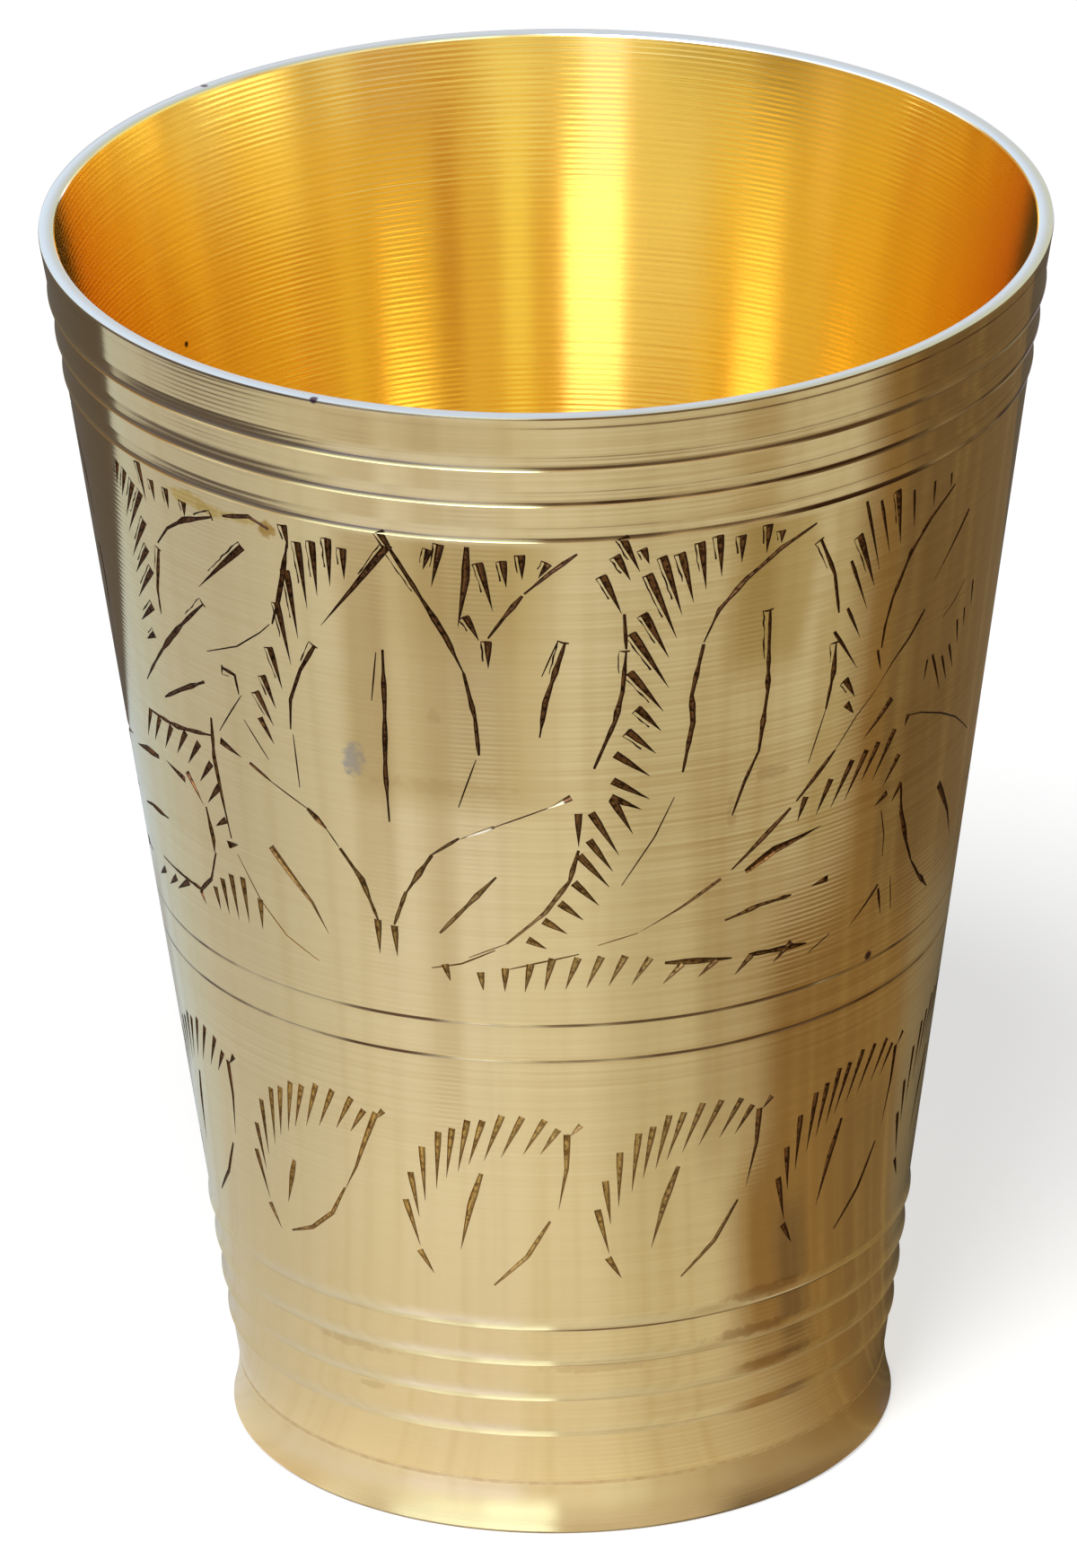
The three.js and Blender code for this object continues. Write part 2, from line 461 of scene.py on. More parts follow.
# dark brown of those lines: caught dirt and painted shade
GRIME_AND_SHADE = (0.16, 0.085, 0.04, 1)
WATER_GREY = (0.46, 0.44, 0.40, 1)
LACQUER = (0.92, 0.64, 0.15, 1)
LACQUER_DROP = (0.66, 0.40, 0.09, 1)
STAINS_AND_SHADES = [  # stains, and painted shade bands on the lower rings: degrees round, height, half width in degrees, half height, strength, colour
    (-26.3, 87.7, 1.8, 2.2, 0.85, WATER_GREY),
    (-14.8, 93.9, 1.0, 0.9, 0.3, TARNISH_AND_SHADE_BROWN),
    (-15.0, 85.8, 11.0, 1.0, 0.25, TARNISH_AND_SHADE_BROWN),
    (29.0, 85.2, 2.6, 0.9, 0.35, TARNISH_AND_SHADE_BROWN),
    (23.6, 81.5, 0.8, 2.2, 0.3, TARNISH_AND_SHADE_BROWN),
    (-48.0, 112.3, 3.5, 1.0, 0.7, LACQUER),
    (-43.5, 112.0, 3.0, 0.7, 0.7, LACQUER),
    (-39.5, 112.2, 3.0, 0.5, 0.6, LACQUER),
    (-35.6, 111.8, 1.3, 1.0, 0.9, LACQUER_DROP),
    # painted shade just below the edges of the lower rings
    (-37.0, 18.9, 9.0, 0.6, 0.3, TARNISH_AND_SHADE_BROWN),
    (6.0, 18.9, 9.5, 0.6, 0.3, TARNISH_AND_SHADE_BROWN),
    (-34.0, 14.5, 2.8, 0.5, 0.3, TARNISH_AND_SHADE_BROWN),
    # darker brown bands on the right-hand flares of the lower rings
    (35.0, 24.7, 8.0, 0.7, 0.6, TARNISH_AND_SHADE_BROWN),
    (33.0, 20.5, 9.0, 0.7, 0.6, TARNISH_AND_SHADE_BROWN),
    (39.0, 16.3, 9.0, 0.7, 0.5, TARNISH_AND_SHADE_BROWN),
]
OLD_GOLD = (0.56, 0.385, 0.125, 1)
CLOUD_STRAY = 8.0  # degrees that a cloud's edge wanders
CLOUDS = [  # how one fades in from the left, out to the right, in from below and out above, and strength
    ((-28.0, -24.0), (4.0, -3.0), (82.0, 85.5), (114.0, 113.0), 0.42),
    ((-25.0, -13.0), (2.0, -5.0), (96.0, 108.0), (114.0, 113.0), 0.5),
    ((19.5, 25.0), (34.5, 31.5), (95.0, 100.0), (114.0, 113.0), 0.7),
    ((33.0, 37.0), (43.0, 39.5), (70.0, 77.0), (114.0, 113.0), 0.5),
    ((-36.0, -22.0), (3.0, -8.0), (122.5, 124.0), (128.0, 127.0), 0.35),
]


def outside(z):
    """Radius of the wall's plain taper at a height: one slope to the upper rings, then a wider one."""
    if z < BAND_HEIGHT:
        return WAIST_RADIUS + FIELD_SLOPE * (z - SEAM_HEIGHT)
    return BAND_RADIUS + MOUTH_SLOPE * (z - BAND_HEIGHT)


def ring(edge, proud, power, curl):
    """One ring, going up: a step out to its sharp edge, then the flare up to its crease."""
    foot, crease = edge - STEP_RISE, edge + FLARE_HEIGHT
    points = [(outside(foot), foot)]
    for step in range(FLARE_STEPS + 1):
        up = (FLARE_HEIGHT - CREASE) * (step / FLARE_STEPS) ** FLARE_CROWD
        out = proud * (1 - up / FLARE_HEIGHT) ** power + curl * max(0, 1 - up / CURL_HEIGHT) ** 2
        points.append((outside(edge + up) + out, edge + up))
    return points + [(outside(crease), crease), (outside(crease + CREASE), crease + CREASE)]


def score(z):
    """A fine line scored round the wall."""
    points = [(outside(z) - SCORE_DEPTH, z)]
    for away in (SCORE_WIDTH / 2, SCORE_WIDTH / 2 + CREASE):
        points = [(outside(z - away), z - away), *points, (outside(z + away), z + away)]
    return points


def wall_outline():
    """The wall's section: up the outside, over the lip and down the inside."""
    features = [ring(edge, *LOWER_FLARE) for edge in LOWER_EDGES]
    features += [ring(edge, *UPPER_FLARE) for edge in UPPER_EDGES]
    features += [score(z) for z in SCORED_LINES]
    points = [(outside(SEAM_HEIGHT), SEAM_HEIGHT)]
    for feature in sorted(features, key=lambda found: found[0][1]):
        gap = feature[0][1] - points[-1][1]
        stretches = math.ceil(gap / FIELD_STEP)
        for step in range(1, stretches):
            z = points[-1][1] + gap / stretches
            points.append((outside(z), z))
        points += feature
    rounding = LIP_HEIGHT - LIP_ROUND
    for z in (rounding - CREASE, rounding):
        points.append((outside(z), z))
    points += [
        (RIM_RADIUS - LIP_CUT, LIP_HEIGHT - LIP_CUT),
        (RIM_RADIUS - LIP_ROUND, LIP_HEIGHT),
        (RIM_RADIUS - WALL + LIP_ROUND, LIP_HEIGHT),
        (RIM_RADIUS - WALL + LIP_CUT, LIP_HEIGHT - LIP_CUT),
        (outside(rounding) - WALL, rounding),
    ]
    for step in range(BORE_STEPS + 1):
        z = BAND_HEIGHT + (SEAM_HEIGHT - BAND_HEIGHT) * step / BORE_STEPS
        points.append((outside(z) - WALL, z))
    return points


def below_surface(graph, x, y, height):
    """Millimetres from the wall's plain taper in to a point of it."""
    above = height.math("MAXIMUM", height - BAND_HEIGHT, 0.0)
    taper = WAIST_RADIUS + (height - SEAM_HEIGHT) * FIELD_SLOPE + above * (MOUTH_SLOPE - FIELD_SLOPE)
    return taper - (x * x + y * y) ** 0.5 / MM


def dirt_and_shade_lined(graph, colour, turn, height, dirt_shade_patches):
    """The colour with dark lines along the rings' steps and the scored lines: caught dirt, and painted
    shade that is stronger on the right.
    """
    to_right = graph.rise(turn, *DIRT_SHADE_RIGHT)
    for line, half, right, left in DIRT_AND_SHADE_LINES:
        caught = dirt_shade_patches * to_right.from_to(left, right)
        colour = graph.blend(graph.rise(abs(height - line), half, half * 0.5) * caught, colour, GRIME_AND_SHADE)
    return colour


def stained_and_shaded(graph, colour, turn, height, ragged, outer):
    """The colour with its stains and painted shade bands, and how far they dull the brass."""
    dull = 0.0
    for degrees, middle, wide, tall, share, tint in STAINS_AND_SHADES:
        away = ((turn - degrees) / wide) ** 2 + ((height - middle) / tall) ** 2
        stain_and_shade = graph.rise(away + (ragged - 0.5) * 3.0, 1.2, 0.2) * share * outer
        colour = graph.blend(stain_and_shade, colour, tint)
        dull = dull + stain_and_shade
    return colour, dull


def clouded(graph, colour, turn, height, wander, outer):
    """The colour with clouds of old tarnish, whose edges wander."""
    for left, right, low, high, share in CLOUDS:
        cloud = graph.rise(turn + wander, *left) * graph.rise(turn + wander, *right)
        cloud = cloud * graph.rise(height + wander * 0.3, *low) * graph.rise(height, *high) * outer
        colour = graph.blend(cloud * share, colour, OLD_GOLD)
    return colour


def lipped(graph, colour, height, patchy, outer):
    """The colour with the lip's flat painted pale as a reflected sky, and a painted dark reflection on its
    outer edge.
    """
    down = LIP_HEIGHT - height
    # painted dark reflection on the outer edge, then the flat painted pale as a reflected sky
    shaded_edge = graph.rise(down, *LIP_SHADED_EDGE) * outer
    colour = graph.blend(shaded_edge * patchy * 0.4, colour, EDGE_SHADE_AND_SPECK_BLACK)
    return graph.blend(graph.rise(down, *LIP_FLAT), colour, LIP_PAINTED_REFLECTION)


def specked(graph, colour, x, y, height):
    """The colour with its black specks."""
    for degrees, radius, middle, size in SPECKS:
        turn = math.radians(degrees)
        right, back = radius * math.sin(turn), -radius * math.cos(turn)
        away = ((x / MM - right) ** 2 + (y / MM - back) ** 2 + (height - middle) ** 2) ** 0.5
        colour = graph.blend(graph.rise(away, size, size * 0.5), colour, EDGE_SHADE_AND_SPECK_BLACK)
    return colour


def wall_brass():
    material, graph, x, y, z = start_material("wall_turned_brass")
    fine, broad = tool_lines(graph, x, y, z)
    height = z / MM
    turn = graph.degrees_round(x, y)
    inside = graph.rise(below_surface(graph, x, y, height), *WALL_MIDDLE)
    outer = 1 - inside
    patchy = graph.rise(graph.drawn_out(x, y, z, PATCHES), 0.35, 0.65)
    swing = graph.drawn_out(x, y, z, SWING, detail=2.0)
    feed = height.math("SINE", height * (math.tau / FEED_PITCH) + swing * FEED_STRAY) * 0.5 * patchy
    bored = height.math("SINE", height * (math.tau / BORE_PITCH) + swing * BORE_STRAY)

    # the lathe's lines darken the brass more right of the front: painted shade
    to_right = graph.rise(turn, *LINED_RIGHT)
    lined = patchy.from_to(LINED_LEAST, 1) * graph.rise(height, *LINED_HEIGHTS).from_to(LINED_LEAST, 1)
    lined = lined * to_right.from_to(*LINED_SIDES)
    colour = graph.blend(graph.rise(fine, 0.3, 0.7) * lined * 0.55, BRASS, BRASS_DULL)
    colour = graph.blend((0.5 + feed) * to_right.from_to(*FEED_DULL_AND_SHADE), colour, BRASS_DULL)
    bore = graph.blend((0.5 + bored * 0.5) * fine * 0.4, BRASS_INSIDE, BRASS_SHADE)
    colour = graph.blend(inside, colour, bore)

    # caught dirt and painted shade along the rings' steps and scored lines
    dirt_shade_patches = graph.rise(graph.drawn_out(x, y, z, DIRT_SHADE_SPOTS), 0.3, 0.55) * outer
    colour = dirt_and_shade_lined(graph, colour, turn, height, dirt_shade_patches)
    ragged = graph.noise(graph.vector(x, y, z), scale=RAGGED, detail=5.0)
    colour, dull = stained_and_shaded(graph, colour, turn, height, ragged, outer)
    colour = clouded(graph, colour, turn, height, (swing - 0.5) * CLOUD_STRAY, outer)
    colour = lipped(graph, colour, height, patchy, outer)
    colour = specked(graph, colour, x, y, height)
    lines = fine + broad + feed + inside * bored * BORE_MARKS
    roughness = WALL_ROUGH + fine * 0.04 + dull * 0.15
    close_metal(graph, colour, roughness, lines, LINE_RISE, LINE_SPREAD)
    return material


wall_line = wall_outline()
wall = turned("turned_wall", wall_line, wall_brass())


# Engraving: the wall's leaf bands, cut with a flat chisel held on its corner. A wedge is one blow of the
# chisel, wide at its head, and a sliver a lighter one; a blade is a line walked along with it, and a gouge
# a broad one; a hair is a line scratched lightly.
WEDGE_HALF = 0.40  # half the width of a wedge's head
SLIVER_HALF = 0.28
GOUGE_HALF = 0.46
BLADE_HALF = 0.29
HAIR_HALF = 0.09
CUT_DEPTH = 0.62  # depth of a cut, as a share of half its width
CUT_FLAT = 0.25  # width of its flat bottom, as a share of its width
CUT_LEAN = 0.35  # how far its bottom is off its middle, towards the side that the chisel leaned on
CUT_OVER = 0.5  # how far a cutter stands out of the metal, as a share of half its width
UNITS = [  # the upper band's units: degrees round, and how close they are set
    (-66.0, 1.0),
    (88.0, 0.93),
    (186.0, 0.93),
]
LOWER_LEAVES = 12
LOWER_START = -11.0
LOWER_SHARE = 0.875  # cuts of the lower band are lighter


# Each kind of cut: half its width, how that changes from its head, where t is 0, to its tip, and its points
def wedge(*points):
    return WEDGE_HALF, lambda t: min(1, 1.2 * (1 - 0.955 * t)), points


def sliver(*points):
    return SLIVER_HALF, lambda t: min(1, 0.6 + 2 * t) * (1 - 0.93 * t), points


def gouge(*points):
    return GOUGE_HALF, lambda t: min(1, 0.55 + 1.6 * t) * min(1, 1.45 * (1 - 0.96 * t)), points


def blade(*points):
    return BLADE_HALF, lambda t: 0.25 + 0.75 * math.sin(math.pi * (0.12 + 0.83 * t)), points


def hair(*points):
    return HAIR_HALF, lambda t: 0.4 + 0.6 * math.sin(math.pi * (0.1 + 0.8 * t)), points


# One unit of the upper band, as (degrees, millimetres): head first
UPPER_UNIT = [
    # leaf on the left: outline, short cuts above it, column of hatches, veins
    blade((-35.2, 111.9), (-38.0, 112.7), (-42.2, 111.8)),
    blade((-44.1, 111.2), (-49.3, 109.5), (-52.9, 107.6), (-55.6, 105.2)),
    blade((-55.6, 104.5), (-57.4, 99.5), (-57.5, 96.8)),
    wedge((-57.4, 113.5), (-56.8, 109.5)),
    wedge((-54.9, 112.3), (-54.8, 110.0)),
    wedge((-52.0, 112.2), (-52.0, 110.0)),
    wedge((-48.8, 111.6), (-49.0, 110.0)),
    wedge((-63.0, 111.8), (-64.2, 109.0)),
    wedge((-61.2, 111.4), (-63.1, 108.1)),
    wedge((-59.5, 110.6), (-62.8, 106.0)),
    wedge((-57.8, 110.0), (-62.8, 104.3)),
    wedge((-58.0, 106.8), (-62.8, 101.6)),
    wedge((-58.4, 103.7), (-62.7, 99.8)),
    wedge((-58.1, 101.4), (-63.1, 97.0)),
    wedge((-59.4, 97.0), (-63.5, 94.3)),
    wedge((-60.2, 93.7), (-62.7, 92.5)),
    wedge((-39.6, 108.9), (-48.2, 102.4)),
    blade((-47.8, 100.6), (-52.8, 97.0), (-58.4, 92.7), (-65.0, 87.3)),
    blade((-49.8, 91.4), (-55.6, 88.9), (-60.1, 86.8)),
    hair((-36.7, 101.0), (-38.4, 99.7), (-42.6, 97.2), (-48.4, 95.2)),
    blade((-45.9, 94.0), (-43.7, 93.7), (-43.4, 91.6)),
    hair((-43.0, 91.6), (-48.1, 86.4)),
    # flower: edge, hatches inside it, round heart, hatches below
    blade((-49.8, 85.4), (-58.1, 84.1), (-65.9, 83.7)),
    blade((-49.5, 87.5), (-50.1, 82.9), (-49.6, 78.3), (-48.9, 74.1)),
    wedge((-49.8, 73.1), (-47.6, 73.7)),
    hair((-48.0, 72.5), (-44.5, 68.2), (-40.3, 65.1), (-35.0, 63.3)),
    wedge((-65.6, 83.7), (-68.4, 80.0)),
    wedge((-62.8, 83.7), (-65.9, 80.2)),
    wedge((-59.6, 83.7), (-62.6, 80.4)),
    wedge((-55.9, 84.1), (-59.2, 80.8)),
    wedge((-53.0, 83.7), (-56.6, 80.4)),
    wedge((-50.9, 82.0), (-54.2, 79.1)),
    wedge((-49.8, 79.7), (-53.1, 77.0)),
    wedge((-49.4, 76.0), (-52.0, 74.7)),
    wedge((-58.1, 78.1), (-63.1, 78.9)),
    gouge((-65.4, 78.5), (-70.0, 78.0), (-75.0, 77.0)),
    blade((-65.7, 71.6), (-72.3, 71.1), (-76.0, 70.3)),
    wedge((-57.3, 79.3), (-54.2, 76.4)),
    blade((-53.7, 76.4), (-53.1, 72.9), (-53.3, 71.4)),
    blade((-53.0, 71.4), (-55.1, 67.9), (-58.4, 65.8), (-62.3, 65.8), (-71.0, 65.8)),
    wedge((-58.7, 65.6), (-57.7, 64.3)),
    wedge((-62.0, 65.6), (-66.7, 63.5)),
    wedge((-66.4, 64.8), (-70.0, 63.0)),
    wedge((-71.0, 64.3), (-74.8, 62.7)),
    wedge((-54.5, 67.2), (-53.9, 64.7)),
    wedge((-52.4, 68.7), (-51.9, 64.7)),
    wedge((-50.2, 69.7), (-49.8, 64.7)),
    wedge((-47.7, 70.0), (-47.6, 64.8)),
    wedge((-44.6, 68.3), (-44.9, 64.8)),
    # hatched leaf: outline cuts, then its hatches
    wedge((-32.9, 112.8), (-32.6, 110.3)),
    blade((-32.7, 110.8), (-34.0, 106.6), (-34.9, 104.1), (-36.3, 101.1)),
    wedge((-33.2, 107.7), (-32.6, 100.2)),
    wedge((-31.2, 111.2), (-30.8, 103.9)),
    wedge((-29.2, 111.6), (-29.2, 105.6)),
    wedge((-27.0, 112.3), (-27.3, 107.0)),
    wedge((-25.1, 111.5), (-25.3, 108.1)),
    wedge((-35.2, 103.7), (-34.1, 97.0)),
    wedge((-37.1, 98.3), (-35.9, 93.9)),
    wedge((-38.8, 94.8), (-37.3, 91.4)),
    wedge((-40.2, 92.7), (-38.0, 89.3)),
    wedge((-40.2, 89.8), (-38.3, 87.2)),
    hair((-43.1, 88.9), (-39.6, 85.2)),
    # pair of big petals with a vein
    wedge((-19.6, 112.3), (-24.2, 107.3), (-29.1, 102.3)),
    blade((-30.3, 99.8), (-32.8, 96.6), (-34.8, 92.9), (-35.3, 89.5)),
    hair((-35.0, 89.0), (-34.9, 83.0)),
    wedge((-20.4, 114.2), (-18.2, 110.9)),
    blade((-19.2, 112.4), (-14.8, 105.9), (-12.9, 103.0), (-10.8, 98.9)),
    blade((-10.9, 99.1), (-9.7, 94.0), (-9.4, 89.8)),
    hair((-9.8, 89.3), (-12.4, 83.7)),
    blade((-21.0, 100.8), (-21.3, 94.5), (-21.9, 86.8), (-21.9, 81.2)),
    hair((-21.9, 100.4), (-23.0, 94.8)),
    wedge((-12.9, 113.3), (-14.3, 108.5)),
    wedge((-14.3, 112.6), (-15.2, 110.4)),
    # stems below the petals
    wedge((-48.3, 85.2), (-44.5, 84.3)),
    blade((-43.1, 84.0), (-39.6, 82.7)),
    hair((-39.6, 82.7), (-34.1, 80.8)),
    blade((-34.1, 80.8), (-31.4, 79.0)),
    hair((-31.4, 79.0), (-29.7, 77.2)),
    blade((-29.6, 77.1), (-26.7, 74.0), (-24.7, 69.5)),
    wedge((-24.8, 69.7), (-24.9, 65.8)),
    wedge((2.2, 85.1), (-0.6, 84.0)),
    hair((-0.2, 84.2), (-8.2, 81.6)),
    sliver((-7.8, 81.7), (-12.5, 80.1)),
    blade((-12.5, 80.2), (-16.4, 78.0)),
    blade((-16.3, 78.0), (-20.3, 73.3)),
    blade((-20.3, 73.4), (-22.4, 69.4)),
    wedge((-22.4, 69.3), (-22.3, 65.8)),
    wedge((-41.2, 75.0), (-38.5, 72.7), (-35.0, 69.9), (-32.8, 66.8)),
    blade((-7.8, 76.0), (-15.9, 69.1)),
    hair((-17.4, 65.0), (-13.1, 65.8), (-8.3, 67.6)),
    # small leaf between the petals and the curl
    gouge((-9.8, 113.3), (-10.1, 109.6), (-11.3, 104.2)),
    wedge((-10.3, 105.4), (-8.8, 102.8)),
    blade((3.1, 112.6), (0.0, 110.6), (-3.2, 108.2)),
    blade((-3.4, 108.0), (-5.6, 105.6), (-7.7, 103.1)),
    wedge((-7.7, 102.7), (-7.8, 99.7)),
    wedge((-8.4, 111.5), (-7.0, 106.2)),
    wedge((-5.6, 111.8), (-5.3, 108.9)),
    wedge((-3.4, 112.5), (-3.4, 109.8)),
    wedge((-0.3, 111.5), (-1.5, 110.0)),
    blade((1.6, 102.7), (-0.9, 96.0), (-1.7, 92.0)),
    hair((0.6, 102.7), (-1.3, 98.9)),
    # curl: its line, then the hatches along its right side
    wedge((6.1, 110.0), (8.4, 105.6)),
    blade((8.7, 105.6), (9.0, 101.6)),
    blade((9.0, 101.4), (8.6, 96.8), (7.7, 93.5), (5.1, 88.3)),
    wedge((3.1, 83.3), (3.1, 79.5)),
    blade((3.1, 79.1), (1.9, 75.6), (-1.4, 72.0), (-6.7, 68.4)),
    hair((-6.7, 68.4), (-12.0, 66.6)),
    wedge((7.7, 112.2), (9.4, 109.3)),
    wedge((8.3, 114.3), (10.5, 110.2)),
    wedge((10.9, 112.7), (11.6, 111.0)),
    wedge((11.6, 109.8), (15.2, 102.3)),
    wedge((13.3, 111.6), (15.8, 104.8)),
    wedge((15.5, 111.8), (17.2, 106.0)),
    wedge((17.9, 112.7), (18.7, 107.3)),
    wedge((20.2, 113.1), (20.6, 108.5)),
    wedge((23.1, 112.7), (23.1, 109.7)),
    wedge((26.5, 113.3), (26.3, 110.2)),
    wedge((28.3, 112.3), (28.2, 111.0)),
    wedge((11.1, 105.4), (14.3, 100.2)),
    wedge((9.7, 103.3), (14.4, 96.8)),
    wedge((9.5, 98.9), (13.8, 94.2)),
    wedge((10.5, 94.8), (13.6, 92.0)),
    wedge((9.3, 92.3), (13.0, 89.5)),
    wedge((7.7, 89.8), (12.3, 87.0)),
    wedge((7.4, 86.8), (12.3, 84.4)),
    wedge((7.2, 84.9), (11.3, 83.3)),
    wedge((7.4, 84.7), (10.2, 80.6)),
    wedge((4.7, 83.3), (8.4, 78.3)),
    wedge((4.4, 80.2), (7.6, 76.5)),
    wedge((3.1, 78.5), (7.2, 74.7)),
    wedge((2.4, 75.4), (5.8, 72.7)),
    wedge((0.5, 73.1), (3.7, 71.1)),
    wedge((-1.7, 71.1), (1.5, 69.6)),
    wedge((-3.9, 68.9), (-1.3, 67.9)),
    # leaf on the right, and the stem that runs under it
    blade((33.0, 112.2), (28.3, 110.4), (23.8, 107.7), (20.5, 104.8), (18.7, 101.4)),
    blade((18.7, 101.2), (17.4, 95.6), (17.7, 92.5), (16.6, 87.0)),
    hair((15.6, 84.3), (13.1, 80.0), (8.8, 74.8)),
    blade((27.3, 103.7), (27.7, 94.5), (27.0, 87.9), (25.2, 84.7), (23.7, 81.1)),
    blade((33.8, 110.2), (36.3, 105.8), (37.5, 101.2)),
    blade((37.5, 97.9), (37.5, 94.5), (36.8, 90.6)),
    hair((36.8, 90.6), (34.7, 85.0)),
    blade((32.5, 80.4), (28.1, 77.5), (24.1, 74.9)),
    sliver((22.6, 74.1), (17.2, 71.6), (11.4, 69.3)),
    hair((11.2, 69.2), (5.6, 68.1)),
    gouge((26.2, 74.3), (30.4, 76.0), (37.8, 77.3)),
    blade((33.7, 70.3), (28.8, 70.1), (23.5, 69.2)),
    # border along the bottom: two lines and a row of hatches
    hair((-6.4, 65.5), (-2.8, 66.2), (3.1, 67.2)),
    blade((15.0, 65.4), (24.9, 64.7)),
    blade((27.5, 64.6), (37.1, 64.1)),
    wedge((-15.5, 65.6), (-14.8, 63.7)),
    wedge((-10.5, 65.0), (-10.2, 62.9)),
    wedge((-7.0, 65.6), (-7.2, 62.9)),
    wedge((-3.5, 66.1), (-4.4, 62.9)),
    wedge((-0.5, 66.8), (-1.7, 63.1)),
    wedge((3.0, 66.8), (1.2, 63.2)),
    wedge((6.2, 66.8), (4.1, 63.3)),
    wedge((9.5, 66.7), (7.2, 63.4)),
    wedge((13.0, 66.2), (10.4, 63.3)),
    wedge((17.6, 65.0), (14.8, 63.0)),
    wedge((22.6, 64.8), (19.9, 63.2)),
    wedge((28.0, 64.5), (25.5, 62.7)),
    wedge((34.5, 64.8), (31.5, 63.0)),
]

# What follows the first unit: a leaf and its stem with hatches along them, and another flower
FIRST_UNIT_END = [
    sliver((40.3, 112.9), (43.6, 104.4)),
    sliver((42.7, 112.4), (45.1, 105.9)),
    wedge((45.5, 112.7), (46.9, 106.5)),
    sliver((48.4, 112.0), (49.2, 107.6)),
    sliver((52.4, 111.8), (52.7, 108.9)),
    sliver((55.9, 111.6), (56.1, 109.9)),
    wedge((39.7, 109.3), (43.0, 102.8)),
    sliver((38.7, 106.7), (42.1, 100.5)),
    sliver((38.8, 101.4), (41.4, 97.5)),
    sliver((37.0, 99.2), (41.4, 94.1)),
    wedge((39.6, 93.2), (41.5, 90.9)),
    wedge((40.1, 90.4), (41.6, 89.0)),
    blade((57.1, 110.0), (52.5, 107.7), (49.2, 104.9), (46.6, 100.6), (45.7, 97.6), (45.5, 95.3)),
    sliver((44.8, 95.2), (45.8, 92.7)),
    sliver((53.6, 97.3), (50.8, 94.9), (48.0, 93.1), (45.3, 90.7)),
    hair((45.3, 90.7), (42.1, 88.5), (39.0, 85.5)),
    blade((39.0, 85.5), (36.9, 83.8), (33.3, 81.0)),
    sliver((61.7, 105.8), (57.7, 102.4), (54.7, 99.9)),
    sliver((55.7, 91.1), (55.4, 88.8)),
    sliver((56.8, 91.3), (60.1, 86.3)),
    sliver((59.4, 90.4), (61.6, 87.0)),
    sliver((61.1, 91.1), (63.1, 87.9)),
    sliver((62.6, 93.4), (63.7, 90.2)),
    sliver((64.5, 94.1), (65.0, 91.9)),
    sliver((66.2, 96.6), (66.8, 93.3)),
    hair((63.4, 97.6), (60.8, 95.9), (58.3, 95.0)),
    wedge((48.7, 88.8), (46.2, 87.0), (43.8, 85.5)),
    wedge((34.8, 81.2), (33.7, 78.6)),
    wedge((38.8, 82.3), (36.7, 78.7)),
    wedge((42.3, 83.6), (39.1, 78.9)),
    wedge((44.8, 84.1), (41.5, 79.2)),
    wedge((47.0, 84.4), (44.3, 80.6)),
    wedge((50.1, 85.0), (46.5, 80.2)),
    wedge((51.7, 81.7), (48.9, 78.9)),
    wedge((50.0, 77.9), (47.5, 77.0)),
    wedge((53.0, 78.2), (51.2, 76.5)),
    hair((49.1, 76.2), (50.4, 73.1), (50.6, 70.6)),
    blade((53.0, 78.1), (53.8, 74.8), (56.2, 70.6), (58.3, 67.9)),
    blade((58.3, 67.9), (61.1, 65.5), (64.5, 63.3)),
    wedge((63.8, 74.8), (69.1, 70.2), (72.0, 66.6)),
    hair((52.2, 85.9), (55.8, 85.2), (61.5, 83.4), (66.8, 81.3), (73.7, 77.8)),
    wedge((52.7, 85.9), (52.2, 84.7)),
    wedge((39.9, 70.8), (37.0, 70.6)),
    sliver((50.4, 67.5), (48.0, 65.9), (44.9, 64.1)),
    sliver((50.5, 67.0), (51.8, 63.7)),
    hair((53.1, 67.8), (54.2, 63.7)),
    hair((41.3, 64.3), (37.5, 62.9)),
]

# One leaf of the lower band, as degrees from its middle
LOWER_LEAF = [
    wedge((-13.3, 37.5), (-11.4, 32.3)),
    wedge((-12.1, 40.8), (-11.2, 35.7)),
    wedge((-9.9, 44.0), (-10.0, 37.7)),
    wedge((-7.1, 46.0), (-8.0, 39.3)),
    wedge((-4.9, 46.6), (-6.3, 40.7)),
    wedge((-2.5, 47.7), (-4.4, 41.6)),
    wedge((-0.2, 47.8), (-2.7, 42.5)),
    wedge((2.7, 48.5), (-0.3, 43.1)),
    wedge((5.7, 48.4), (2.3, 43.6)),
    wedge((9.0, 48.1), (5.6, 44.0)),
    wedge((11.0, 47.0), (8.2, 44.1)),
    wedge((14.3, 47.4), (12.7, 46.2)),
    wedge((-11.6, 31.8), (-9.4, 29.3)),
]
LEAF_SIDE = [  # its right side and its vein
    wedge((12.2, 46.4), (12.1, 42.4), (10.8, 37.6)),
    blade((9.5, 36.3), (5.8, 32.1), (0.4, 28.6)),
    gouge((-0.8, 41.6), (-2.7, 37.8), (-4.7, 32.5)),
]
ROUND_SIDE = [  # the same of a leaf that is rounded off below
    wedge((13.0, 47.0), (10.0, 42.4), (8.5, 40.0), (6.0, 37.0)),
    blade((6.0, 37.2), (2.9, 33.7), (-1.8, 31.1), (-6.8, 29.7)),
    gouge((-3.9, 38.4), (-6.7, 33.0)),
]
ROUND_LEAF = 11  # counting from the first to the right
CUT_DARK = (0.034, 0.014, 0.005, 1)
CUT_BROWN = (0.20, 0.09, 0.028, 1)
CUT_TAN = (0.26, 0.14, 0.038, 1)
CUT_PALE = (0.66, 0.44, 0.125, 1)
